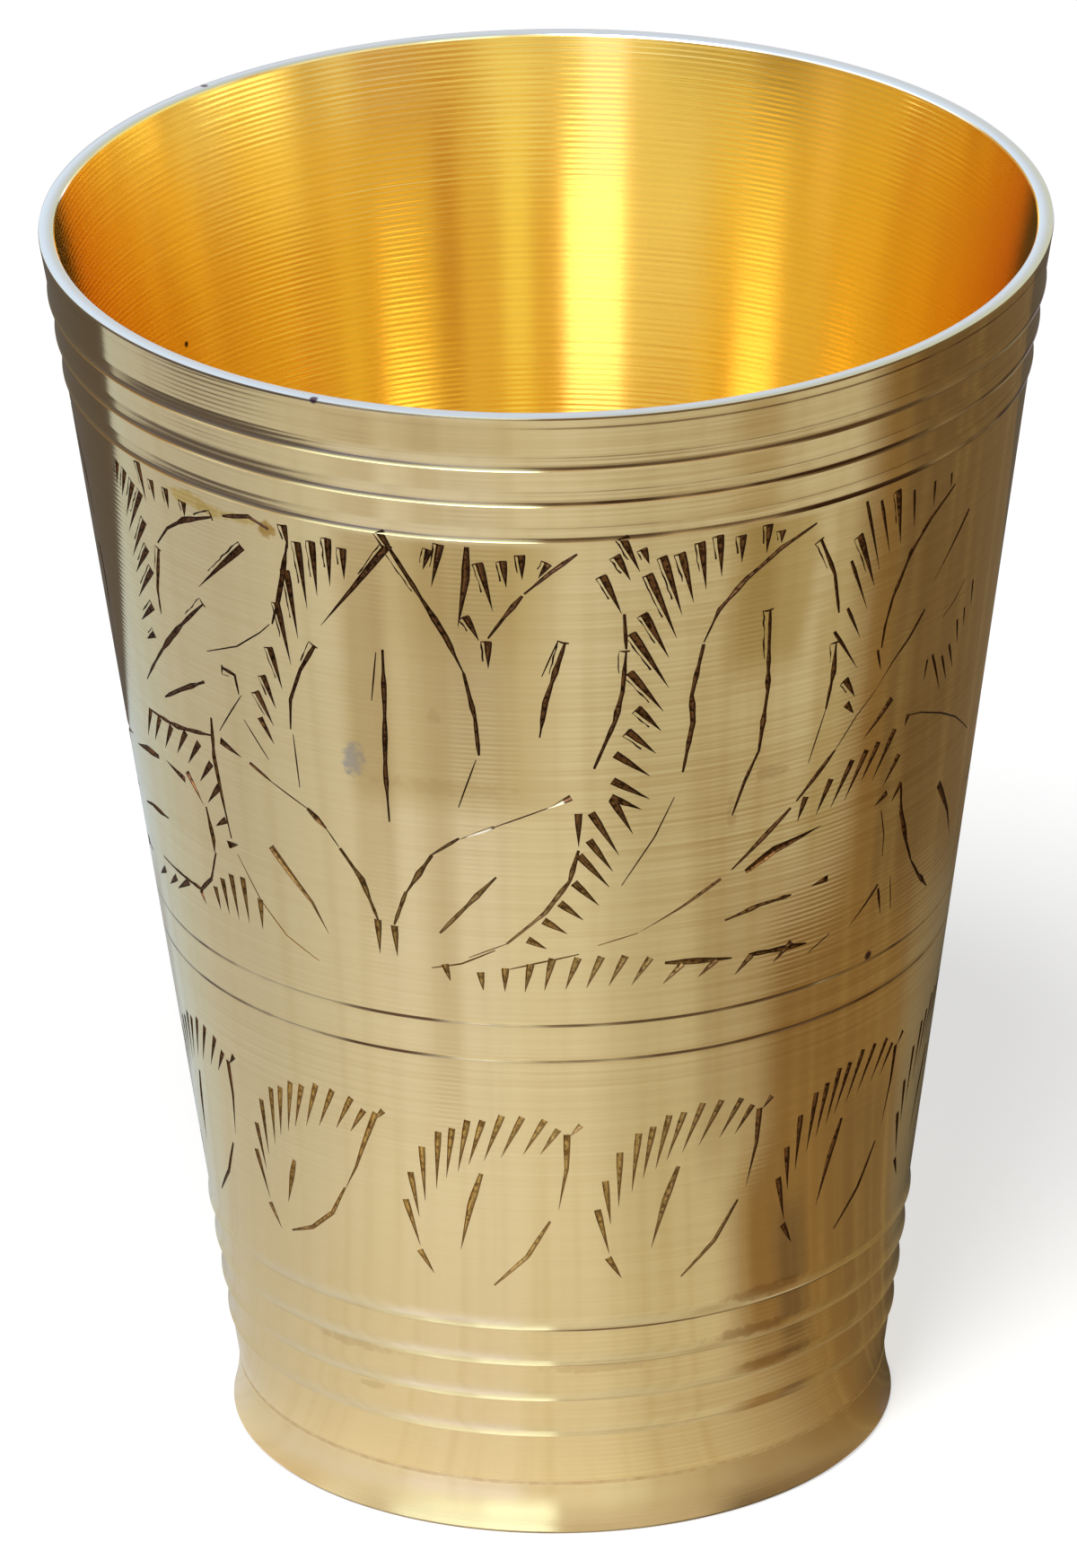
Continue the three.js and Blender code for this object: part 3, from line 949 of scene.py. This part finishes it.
# colour of the painted highlight on a few cuts
CUT_PAINTED_GLINT = (0.46, 0.36, 0.16, 1)
CUT_SLOT = 1  # the cuts' material comes after the wall's own
CUT_ROUGH = 0.45
CUT_GRIME = 2200.0  # noise for each metre
CUT_MARKS = 2e-5  # metres that the marks in a cut stand up
CUT_FLOOR = (0.06, 0.14)  # millimetres down, where a cut's sides end and its floor starts
PALE_HEIGHTS = (88, 52)  # cuts are dark above the first height and pale below the second, and
CUT_SHADE_RIGHT = (38, -8)  # they turn from dark to pale, as painted shade, over these degrees round, on the right and
CUT_SHADE_LEFT = (-58, -40)  # on the left
PAINTED_GLINT_CUTS = [  # degrees round, height, size: cuts with a painted highlight
    (0.2, 84.3, 1.0),
    (-9.9, 81.0, 1.6),
]
BURR_LOW = 92.0  # burrs are left on cuts above this height, on every wedge and
BLADE_BURRS = 0.6  # on this share of the blades
BURR_GAP = 0.34  # from a wedge's side to the burr that the chisel threw up beside it
BURR_HALF = 0.095
BURR_STEP = 0.7
BURR_REACH = (0.5, 0.75)  # how far down the cut it goes, as a share of the cut
BURR_HEAD = ((-0.9 * WEDGE_HALF, 0.11), (0.6 * WEDGE_HALF, 0.12))  # aside of the head, and half width
BURR_SLIP = (-0.05, 0.1)  # how far along the cut it slips there
BURR_CLOSING = 0.8  # how far it follows the cut's narrowing
BURR_UNEVEN = (0.35, 1.2)  # the least and the most of its width beside the cut, as shares of it
BURR_STRAY = (0.75, 1.15)  # and of its gap to the cut
CHANCE_SEED = 7
FACET_STEP = 1.6  # degrees round, and
RISE_STEP = 1.3  # millimetres up, between the points of a cut
UNEVEN = (0.62, 1.3)  # the least and the most that a walked cut's width strays to, as shares of it


def on_wall(degrees, z):
    turn = math.radians(degrees)
    radius = outside(z) * MM
    return (radius * math.sin(turn), -radius * math.cos(turn), z * MM)


def walked(points):
    """Points along a cut, close enough together to follow the round wall."""
    path = []
    for (first, low), (last, high) in zip(points, points[1:]):
        steps = math.ceil(max(abs(last - first) / FACET_STEP, abs(high - low) / RISE_STEP))
        path += [(first + (last - first) * i / steps, low + (high - low) * i / steps) for i in range(steps)]
    return path + [points[-1]]


def add_cut(lines, half, width_at, points, chance):
    """Adds one cut to the lines, with half its width at each point as the point's radius."""
    path = walked(points)
    spline = lines.splines.new("POLY")
    spline.points.add(len(path) - 1)
    for i, (degrees, z) in enumerate(path):
        stray = chance.uniform(*UNEVEN) if half == BLADE_HALF else 1
        spline.points[i].co = (*on_wall(degrees, z), 1)
        spline.points[i].radius = half * width_at(i / (len(path) - 1)) * stray * MM


def add_burr(lines, points, chance):
    """Adds the ragged line that a cut's head and left side leave beside its first stretch."""
    (head, top), (tip, low) = points[0], points[1]
    across = math.radians(outside(top))  # millimetres for each degree round the wall
    run, drop = (tip - head) * across, top - low
    length = math.hypot(run, drop)
    along = (run / length, -drop / length)
    left = (-drop / length, -run / length)
    share = chance.uniform(*BURR_REACH)
    path = [(0.0, *BURR_HEAD[0]), (chance.uniform(*BURR_SLIP), *BURR_HEAD[1])]
    steps = math.ceil(length * share / BURR_STEP)
    for step in range(steps + 1):
        aside = WEDGE_HALF * (1 - BURR_CLOSING * share * step / steps)
        aside += BURR_GAP * chance.uniform(*BURR_STRAY)
        path.append((length * share * step / steps, aside, BURR_HALF * chance.uniform(*BURR_UNEVEN)))
    spline = lines.splines.new("POLY")
    spline.points.add(len(path) - 1)
    for point, (down, aside, half) in zip(spline.points, path):
        degrees = head + (along[0] * down + left[0] * aside) / across
        point.co = (*on_wall(degrees, top + along[1] * down + left[1] * aside), 1)
        point.radius = half * MM


def engrave_tree():
    """Runs a chisel section along the cuts and takes the result out of the wall."""
    graph, given = new_tree("engrave", {
        "Cuts": "NodeSocketObject",
        "Depth": "NodeSocketFloat",
        "Flat": "NodeSocketFloat",
        "Lean": "NodeSocketFloat",
        "Over": "NodeSocketFloat",
        "Cut Material": "NodeSocketMaterial",
    })
    depth, flat, lean, over = (given[name] for name in ("Depth", "Flat", "Lean", "Over"))
    cuts = graph.node("GeometryNodeObjectInfo", None, {"Object": given["Cuts"]}, output="Geometry")
    place = graph.node("GeometryNodeInputPosition")
    level = graph.node("ShaderNodeVectorMath", {"operation": "MULTIPLY"}, {0: place, 1: (1, 1, 0)})
    outward = graph.node("ShaderNodeVectorMath", {"operation": "NORMALIZE"}, {0: level})
    cuts = graph.node("GeometryNodeSetCurveNormal", {"mode": "FREE"}, {"Curve": cuts, "Normal": outward})
    left = 1 + (1 - lean - flat) * over / depth
    right = 1 + (1 + lean - flat) * over / depth
    chisel = graph.node("GeometryNodeCurvePrimitiveQuadrilateral", {"mode": "POINTS"}, {
        "Point 1": graph.vector(over, left, 0),
        "Point 2": graph.vector(over, 0 - right, 0),
        "Point 3": graph.vector(0 - depth, lean - flat, 0),
        "Point 4": graph.vector(0 - depth, lean + flat, 0),
    })
    cutters = graph.node("GeometryNodeCurveToMesh", None, {
        "Curve": cuts,
        "Profile Curve": chisel,
        "Scale": graph.node("GeometryNodeInputRadius"),
        "Fill Caps": True,
    })
    cutters = graph.node("GeometryNodeFlipFaces", None, {"Mesh": cutters})
    cutters = graph.node("GeometryNodeStoreNamedAttribute", {"data_type": "BOOLEAN", "domain": "FACE"}, {
        "Geometry": cutters,
        "Name": "cut",
        "Value": True,
    })
    island = graph.node("GeometryNodeInputMeshIsland", output="Island Index")
    each = graph.node("GeometryNodeSplitToInstances", {"domain": "FACE"}, {
        "Geometry": cutters,
        "Group ID": island,
    })
    engraved = graph.node("GeometryNodeMeshBoolean", {"operation": "DIFFERENCE", "solver": "EXACT"}, {
        "Mesh 1": given["Geometry"],
        "Mesh 2": each,
    })
    is_cut = graph.node("GeometryNodeInputNamedAttribute", {"data_type": "BOOLEAN"}, {"Name": "cut"})
    close_tree(graph, engraved, given["Cut Material"], is_cut)
    return graph.tree


def cut_brass():
    material, graph, x, y, z = start_material("cut_brass")
    height = z / MM
    grime = graph.noise(graph.vector(x, y, z), scale=CUT_GRIME, detail=3.0)
    turn = graph.degrees_round(x, y)
    # cuts are painted darker towards the right and the far left: painted shade
    pale = graph.rise(height, *PALE_HEIGHTS) * graph.rise(turn, *CUT_SHADE_RIGHT) * graph.rise(turn, *CUT_SHADE_LEFT)
    floor = graph.rise(below_surface(graph, x, y, height), *CUT_FLOOR)
    brown = graph.blend(pale, CUT_BROWN, CUT_PALE)
    edge = graph.blend(pale, CUT_DARK, CUT_TAN)
    colour = graph.blend(floor * graph.rise(grime, 0.35, 0.6), edge, brown)
    # painted highlights on a few cuts
    for degrees, middle, size in PAINTED_GLINT_CUTS:
        across = (turn - degrees) * math.radians(outside(middle))
        away = (across ** 2 + (height - middle) ** 2) ** 0.5
        colour = graph.blend(graph.rise(away, size, size * 0.7), colour, CUT_PAINTED_GLINT)
    close_metal(graph, colour, CUT_ROUGH, grime, CUT_MARKS, 0.0)
    return material


cut_lines = bpy.data.curves.new("cut_lines", "CURVE")
cut_lines.dimensions = "3D"
chance = random.Random(CHANCE_SEED)
upper_cuts = list(FIRST_UNIT_END)
for start, close in UNITS:
    for half, width_at, points in UPPER_UNIT:
        moved = [(start + (degrees - UNITS[0][0]) * close, z) for degrees, z in points]
        upper_cuts.append((half, width_at, moved))
for half, width_at, points in upper_cuts:
    add_cut(cut_lines, half, width_at, points, chance)
    burred = half == WEDGE_HALF or half == BLADE_HALF and chance.random() < BLADE_BURRS
    if burred and points[0][1] > BURR_LOW:
        add_burr(cut_lines, points, chance)
for leaf in range(LOWER_LEAVES):
    middle = LOWER_START + leaf * 360 / LOWER_LEAVES
    side = ROUND_SIDE if leaf == ROUND_LEAF else LEAF_SIDE
    for half, width_at, points in LOWER_LEAF + side:
        moved = [(middle + degrees, z) for degrees, z in points]
        add_cut(cut_lines, half * LOWER_SHARE, width_at, moved, chance)
cuts = bpy.data.objects.new("cut_lines", cut_lines)
bpy.context.scene.collection.objects.link(cuts)
run_tree(wall, engrave_tree(), {
    "Cuts": cuts,
    "Depth": CUT_DEPTH,
    "Flat": CUT_FLAT,
    "Lean": CUT_LEAN,
    "Over": CUT_OVER,
    "Cut Material": cut_brass(),
})
bpy.data.objects.remove(cuts)
true_normals(wall, wall_line, flat_material=CUT_SLOT)
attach(wall, "root")
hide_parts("wall")


# Floor disc: the floor of the cup, a brass disc faced on the lathe. It drops into the taper and sits on
# the foot's collar, where it is soldered in.
FLOOR_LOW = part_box("floor_disc")[0].z / MM
FLOOR_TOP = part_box("floor_disc")[1].z / MM
FLOOR_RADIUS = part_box("floor_disc")[1].x / MM
FLOOR_EDGE = 0.3  # how far in its lower corner is
FLOOR_ROUGH = 0.26
FLOOR_DULL = 0.6
FACING_RISE = 8e-6  # metres that its rings of lines stand up
FACING_SPREAD = 0.5


def floor_brass():
    material, graph, x, y, z = start_material("floor_turned_brass")
    radius = (x * x + y * y) ** 0.5
    fine, broad = tool_lines(graph, x, y, radius)
    colour = graph.blend(graph.rise(broad, 0.4, 0.8) * FLOOR_DULL, BRASS, BRASS_DULL)
    close_metal(graph, colour, FLOOR_ROUGH + fine * 0.12, fine + broad, FACING_RISE, FACING_SPREAD)
    return material


floor_outline = [
    (0, FLOOR_LOW),
    (FLOOR_RADIUS - FLOOR_EDGE, FLOOR_LOW),
    (FLOOR_RADIUS, FLOOR_TOP),
    (0, FLOOR_TOP),
]
floor_disc = turned("cup_floor", floor_outline, floor_brass(), closed=False)
true_normals(floor_disc, floor_outline, closed=False)
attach(floor_disc, "root")
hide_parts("floor_disc")


# Floor solder: the fillet of soft solder that seals the disc to the wall. It was run round the corner hot,
# so its face is hollow.
FILLET_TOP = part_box("floor_solder")[1].z / MM
FILLET_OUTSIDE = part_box("floor_solder")[1].x / MM
FILLET_STEPS = 6
SOLDER_GREY = (0.46, 0.42, 0.33, 1)
SOLDER_DARK = (0.20, 0.16, 0.11, 1)

fillet_outline = [(FLOOR_RADIUS, FLOOR_TOP), (FILLET_OUTSIDE, FILLET_TOP)]
leg = FILLET_TOP - FLOOR_TOP
for step in range(1, FILLET_STEPS + 1):
    bend = math.radians(90) * step / FILLET_STEPS
    fillet_outline.append((FILLET_OUTSIDE - leg * (1 - math.cos(bend)), FILLET_TOP - leg * math.sin(bend)))
fillet = turned("floor_fillet", fillet_outline, solder("fillet_solder", SOLDER_GREY, SOLDER_DARK))
true_normals(fillet, fillet_outline)
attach(fillet, "root")
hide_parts("floor_solder")


# Table: a plain pale sheet, slightly polished, that takes the tumbler's shadow. The brass sees it with soft
# shades on it, and a darker table beyond its edges; the camera sees it all as white.
TABLE_SIZE = 12.0  # metres, as are all sizes from here on
WHITE = (1, 1, 1, 1)
SHEET_PALE = (0.79, 0.785, 0.755, 1)
TABLE_DARK = (0.10, 0.075, 0.06, 1)
SHEET_SHINE = 0.05
SHEET_ROUGH = 0.12
SEEN_GREY = (0.5, 0.5, 0.5, 1)  # what the camera sees of it, which takes the shadow
TABLE_GLOW = 0.6  # what the camera sees over and above the lit sheet
SHEET_BACK = 0.172  # the sheet's back edge, behind the tumbler's middle
BACK_SKEW = 0.286  # how far that edge runs back for each metre to the right
BACK_BLUR = 0.004
SHEET_LEFT = 0.2165  # its left edge, beside the tumbler's middle
LEFT_SKEW = 0.2  # how far that edge runs out for each metre to the back
LEFT_BLUR = 0.01
SHEET_FRONT = (0.228, 0.30)  # where it falls into shade in front
SHADE_PALE = (0.575, 0.585, 0.61, 1)
SHADE_COOL = (0.61, 0.70, 0.79, 1)
SHADE_TAN = (0.61, 0.585, 0.50, 1)
SHADE_BROWN = (0.27, 0.17, 0.075, 1)
SHADE_DARK = (0.17, 0.11, 0.06, 1)
SHADE_GREY = (0.26, 0.22, 0.16, 1)
SHADE_FRONT = (0.20, 0.135, 0.08, 1)
SHADE_NEAR = (0.55, 0.51, 0.45, 1)
STREAK = (0.42, 0.33, 0.16, 1)
SHADES = [  # degrees round, half width, soft edge, near, far, soft reach, strength, colour
    (-130.0, 70.0, 30.0, 0.0, 9.0, 0.012, 0.9, SHADE_PALE),
    (-160.0, 45.0, 22.0, 0.0, 9.0, 0.012, 1.0, SHADE_COOL),
    (95.0, 82.0, 10.0, 0.0, 0.155, 0.012, 1.0, SHADE_TAN),
    (95.0, 82.0, 10.0, 0.155, 9.0, 0.012, 0.65, SHADE_TAN),
    (-18.0, 7.0, 4.0, 0.155, 0.176, 0.012, 0.3, SHADE_BROWN),
    (95.0, 78.0, 8.0, 0.042, 0.048, 0.012, 0.15, SHADE_BROWN),
    (126.0, 90.0, 3.0, 0.09, 0.13, 0.012, 0.36, SHADE_BROWN),
    (-44.0, 5.0, 2.0, 0.13, 0.19, 0.012, 0.35, STREAK),
    (-28.0, 4.0, 2.0, 0.10, 0.20, 0.012, 0.3, STREAK),
    (48.0, 6.0, 4.0, 0.175, 0.215, 0.012, 0.6, STREAK),
]
DARK_SHADES = [  # the same, laid over the brown side
    (140.0, 50.0, 5.0, 0.135, 9.0, 0.02, 1.0, SHADE_DARK),
    (140.0, 60.0, 10.0, 0.0, 0.085, 0.015, 0.6, SHADE_DARK),
    (64.0, 5.0, 3.0, 0.055, 0.072, 0.006, 1.0, SHADE_DARK),
    (140.0, 28.0, 8.0, 0.06, 0.12, 0.02, 0.8, SHADE_GREY),
]
BROWN_SIDE = (115.0, 60.0, 7.0)  # degrees round, half width, soft edge
BROWN_SOFT = (140.0, 87.5, 27.5)  # the same close to the foot
CLOSE_BY = (0.062, 0.042)  # reach over which the one becomes the other
FURTHER = (0.115, 0.135)  # reach over which the brown side turns back by
TURN_BACK = 23.0  # these degrees
DRAWN_IN = (0.055, 0.078, 0.01)  # near, far and soft reach where it comes forward by
DRAW_IN = 9.0  # these degrees
BY_FOOT = (0.088, 0.058)  # reach over which the shade round the foot sets in
BY_FOOT_RIGHT = (95.0, 85.0, 10.0)  # it is weaker on this side:
BY_FOOT_SHARES = (0.37, 0.10)  # its strength elsewhere, and here
CLOSE_SHARE = 0.12  # how much stronger it is close to the foot
STREAKED_SIDE = (70.0, 45.0, 15.0)  # streaks are stronger on this side:
STREAK_SHARES = (0.22, 0.42)  # their strength elsewhere, and here
STREAK_SCALE = (0.25, 10)  # noise for each degree round, and for each metre of reach
FRONT_GAP = (-18.0, 12.0, 6.0)  # the front's shade is weaker here:
FRONT_SHARES = (1, 0.5)  # its strength elsewhere, and here
FOOT_BLUR = 0.0005


def shaded(graph, colour, polar, reach, shades):
    """The colour with these shades laid over it, one after another."""
    for degrees, wide, soft, near, far, blur, share, tint in shades:
        within = graph.near_angle(polar, degrees, wide, soft) * graph.between(reach, near, far, blur)
        colour = graph.blend(within * share, colour, tint)
    return colour


def sheet_colour(graph, x, y, polar, reach):
    """The sheet and its shades by degrees and reach from the tumbler's axis, and the table round it."""
    further = graph.rise(reach, *FURTHER)
    close_by = graph.rise(reach, *CLOSE_BY)
    colour = shaded(graph, SHEET_PALE, polar, reach, SHADES)
    on_right = graph.near_angle(polar, *BY_FOOT_RIGHT)
    by_foot = graph.rise(reach, *BY_FOOT) * on_right.from_to(*BY_FOOT_SHARES) + close_by * CLOSE_SHARE
    colour = graph.blend(by_foot, colour, SHADE_NEAR)
    moved = polar - further * TURN_BACK + graph.between(reach, *DRAWN_IN) * DRAW_IN
    sharp = graph.near_angle(moved, *BROWN_SIDE)
    gradual = graph.near_angle(polar, *BROWN_SOFT)
    colour = graph.blend(close_by.from_to(sharp, gradual), colour, SHADE_BROWN)
    colour = shaded(graph, colour, polar, reach, DARK_SHADES)
    around, outward = STREAK_SCALE
    streaks = graph.noise(graph.vector(polar * around, reach * outward, 0.0), detail=3.0)
    strength = graph.near_angle(polar, *STREAKED_SIDE).from_to(*STREAK_SHARES)
    colour = graph.blend(graph.rise(streaks, 0.45, 0.75) * strength, colour, STREAK)
    in_front = graph.rise(reach, *SHEET_FRONT) * graph.near_angle(polar, *FRONT_GAP).from_to(*FRONT_SHARES)
    colour = graph.blend(in_front, colour, SHADE_FRONT)
    past_back = graph.rise(y - x * BACK_SKEW, SHEET_BACK, SHEET_BACK + BACK_BLUR)
    past_left = graph.rise(x + y * LEFT_SKEW, -SHEET_LEFT, -SHEET_LEFT - LEFT_BLUR)
    return graph.blend((1 - past_back) * (1 - past_left), TABLE_DARK, colour)


table_mesh = bpy.data.meshes.new("table")
half = TABLE_SIZE / 2
corners = [(-half, -half, 0), (half, -half, 0), (half, half, 0), (-half, half, 0)]
table_mesh.from_pydata(corners, [], [(0, 1, 2, 3)])
table = bpy.data.objects.new("table", table_mesh)
bpy.context.scene.collection.objects.link(table)
table_material, graph, x, y, z = start_material("pale_sheet")
polar = graph.degrees_round(x, y)
reach = (x * x + y * y) ** 0.5
sheet = graph.node("ShaderNodeBsdfPrincipled", None, {
    "Base Color": sheet_colour(graph, x, y, polar, reach),
    "Roughness": SHEET_ROUGH,
    "Specular IOR Level": SHEET_SHINE,
})
seen = graph.node("ShaderNodeBsdfDiffuse", None, {"Color": SEEN_GREY})
glow = graph.node("ShaderNodeEmission", None, {"Color": WHITE, "Strength": TABLE_GLOW})
lit = graph.node("ShaderNodeAddShader", None, {0: seen, 1: glow})
camera_ray = graph.node("ShaderNodeLightPath", output="Is Camera Ray")
shown = graph.node("ShaderNodeMixShader", None, {0: camera_ray, 1: sheet, 2: lit})
# The sheet is clear from below, and inside the foot, so that the underside can be seen and is lit
from_below = graph.node("ShaderNodeNewGeometry", output="Backfacing")
in_foot = graph.rise(reach, FOOT_BORE * MM, FOOT_BORE * MM - FOOT_BLUR)
clear = graph.node("ShaderNodeBsdfTransparent")
shown = graph.node("ShaderNodeMixShader", None, {
    0: from_below.math("MAXIMUM", from_below, in_foot),
    1: shown,
    2: clear,
})
graph.node("ShaderNodeOutputMaterial", None, {"Surface": shown})
table_mesh.materials.append(table_material)


# Light: one soft key from the front, a little to the left, and a pale sky. The brass sees the sky brighter
# round the key and darker in stretches, and the camera sees it as white.
KEY_AZIMUTH = math.radians(-15)  # from the front, to the left
KEY_HEIGHT = math.radians(55)  # above the horizon
KEY_STRENGTH = 2.6
KEY_SPREAD = math.radians(20)
SKY_FILL = (0.20, 0.20, 0.20, 1)
SKY_EVEN = (0.95, 0.97, 0.95, 1)
SKY_BLUR = 4.0  # degrees over which a patch fades above and below
SKY_PATCHES = [  # degrees round from the front, half width, soft edge, low, high, colour
    (130.0, 45.0, 12.0, 16.0, 90.0, (0.95, 0.95, 0.6, 1)),
    (-150.0, 28.0, 10.0, 16.0, 90.0, (1.15, 1.3, 1.3, 1)),
    (-80.0, 38.0, 18.0, 16.0, 90.0, (1.15, 1.5, 3.0, 1)),
    (22.0, 10.0, 4.0, 16.0, 90.0, (1.25, 1.6, 2.0, 1)),
    (72.0, 9.0, 4.0, 16.0, 32.0, (0.68, 0.50, 0.35, 1)),
    (-35.0, 21.0, 5.0, 18.0, 50.0, (3.2, 3.9, 9.5, 1)),
    (0.0, 75.0, 15.0, -20.0, 12.0, (0.60, 0.52, 0.42, 1)),
    (90.0, 35.0, 10.0, -20.0, 9.0, (0.12, 0.08, 0.05, 1)),
    (-36.0, 18.0, 16.0, 7.0, 15.0, (2.1, 2.5, 2.6, 1)),
    (-15.0, 12.0, 2.5, 7.0, 15.0, (3.0, 3.7, 4.0, 1)),
    (-32.0, 27.0, 5.0, -20.0, 4.0, (1.1, 1.25, 1.25, 1)),
    (-120.0, 30.0, 10.0, -20.0, 13.0, (0.65, 0.45, 0.25, 1)),
    (152.0, 10.0, 5.0, -20.0, 16.0, (1.6, 1.6, 2.8, 1)),
]

key_data = bpy.data.lights.new("key", "SUN")
key_data.energy = KEY_STRENGTH
key_data.angle = KEY_SPREAD
key = bpy.data.objects.new("key", key_data)
bpy.context.scene.collection.objects.link(key)
toward_key = Vector((
    math.sin(KEY_AZIMUTH) * math.cos(KEY_HEIGHT),
    -math.cos(KEY_AZIMUTH) * math.cos(KEY_HEIGHT),
    math.sin(KEY_HEIGHT),
))
key.rotation_euler = toward_key.to_track_quat("Z", "Y").to_euler()

world = bpy.data.worlds.new("sky")
bpy.context.scene.world = world
world.use_nodes = True
world.node_tree.nodes.clear()
graph = Graph(world.node_tree)
x, y, z = graph.split(graph.node("ShaderNodeTexCoord", output="Generated"))
round_sky = graph.degrees_round(x, y)
height = z.math("ARCSINE", z) * math.degrees(1)
sky_colour = SKY_EVEN
for degrees, wide, soft, low, high, tint in SKY_PATCHES:
    within = graph.near_angle(round_sky, degrees, wide, soft) * graph.between(height, low, high, SKY_BLUR)
    sky_colour = graph.blend(within, sky_colour, tint)
camera_ray = graph.node("ShaderNodeLightPath", output="Is Camera Ray")
glossy_ray = graph.node("ShaderNodeLightPath", output="Is Glossy Ray")
fill = graph.node("ShaderNodeBackground", None, {"Color": SKY_FILL})
gloss = graph.node("ShaderNodeBackground", None, {"Color": sky_colour})
white = graph.node("ShaderNodeBackground", None, {"Color": WHITE})
sky = graph.node("ShaderNodeMixShader", None, {0: glossy_ray, 1: fill, 2: gloss})
sky = graph.node("ShaderNodeMixShader", None, {0: camera_ray, 1: sky, 2: white})
graph.node("ShaderNodeOutputWorld", None, {"Surface": sky})


# Camera: the photograph's view, from well back and a little above, through a long lens, with a slight
# roll.
CAMERA_DISTANCE = 1.9327
CAMERA_HEIGHT = math.radians(24.23)  # above the horizon
CAMERA_ROLL = math.radians(-0.81)
AIM_HEIGHT = 0.067
LENS = 445.35  # millimetres, as lenses are
SHIFT = -0.00985  # sideways, as a share of the picture
CAMERA_REACH = 50.0
CUP_BOUNCES = 10  # the cup's inside is seen in itself many times over

camera_data = bpy.data.cameras.new("camera")
camera_data.lens = LENS
camera_data.shift_x = SHIFT
camera_data.clip_end = CAMERA_REACH
camera = bpy.data.objects.new("camera", camera_data)
bpy.context.scene.collection.objects.link(camera)
back = Vector((0, -math.cos(CAMERA_HEIGHT), math.sin(CAMERA_HEIGHT)))
turn = back.to_track_quat("Z", "Y").to_matrix() @ Matrix.Rotation(CAMERA_ROLL, 3, "Z")
stand = Vector((0, 0, AIM_HEIGHT)) + back * CAMERA_DISTANCE
camera.matrix_world = Matrix.Translation(stand) @ turn.to_4x4()
bpy.context.scene.camera = camera

bpy.context.scene.cycles.glossy_bounces = CUP_BOUNCES
bpy.context.scene.view_settings.view_transform = "Standard"
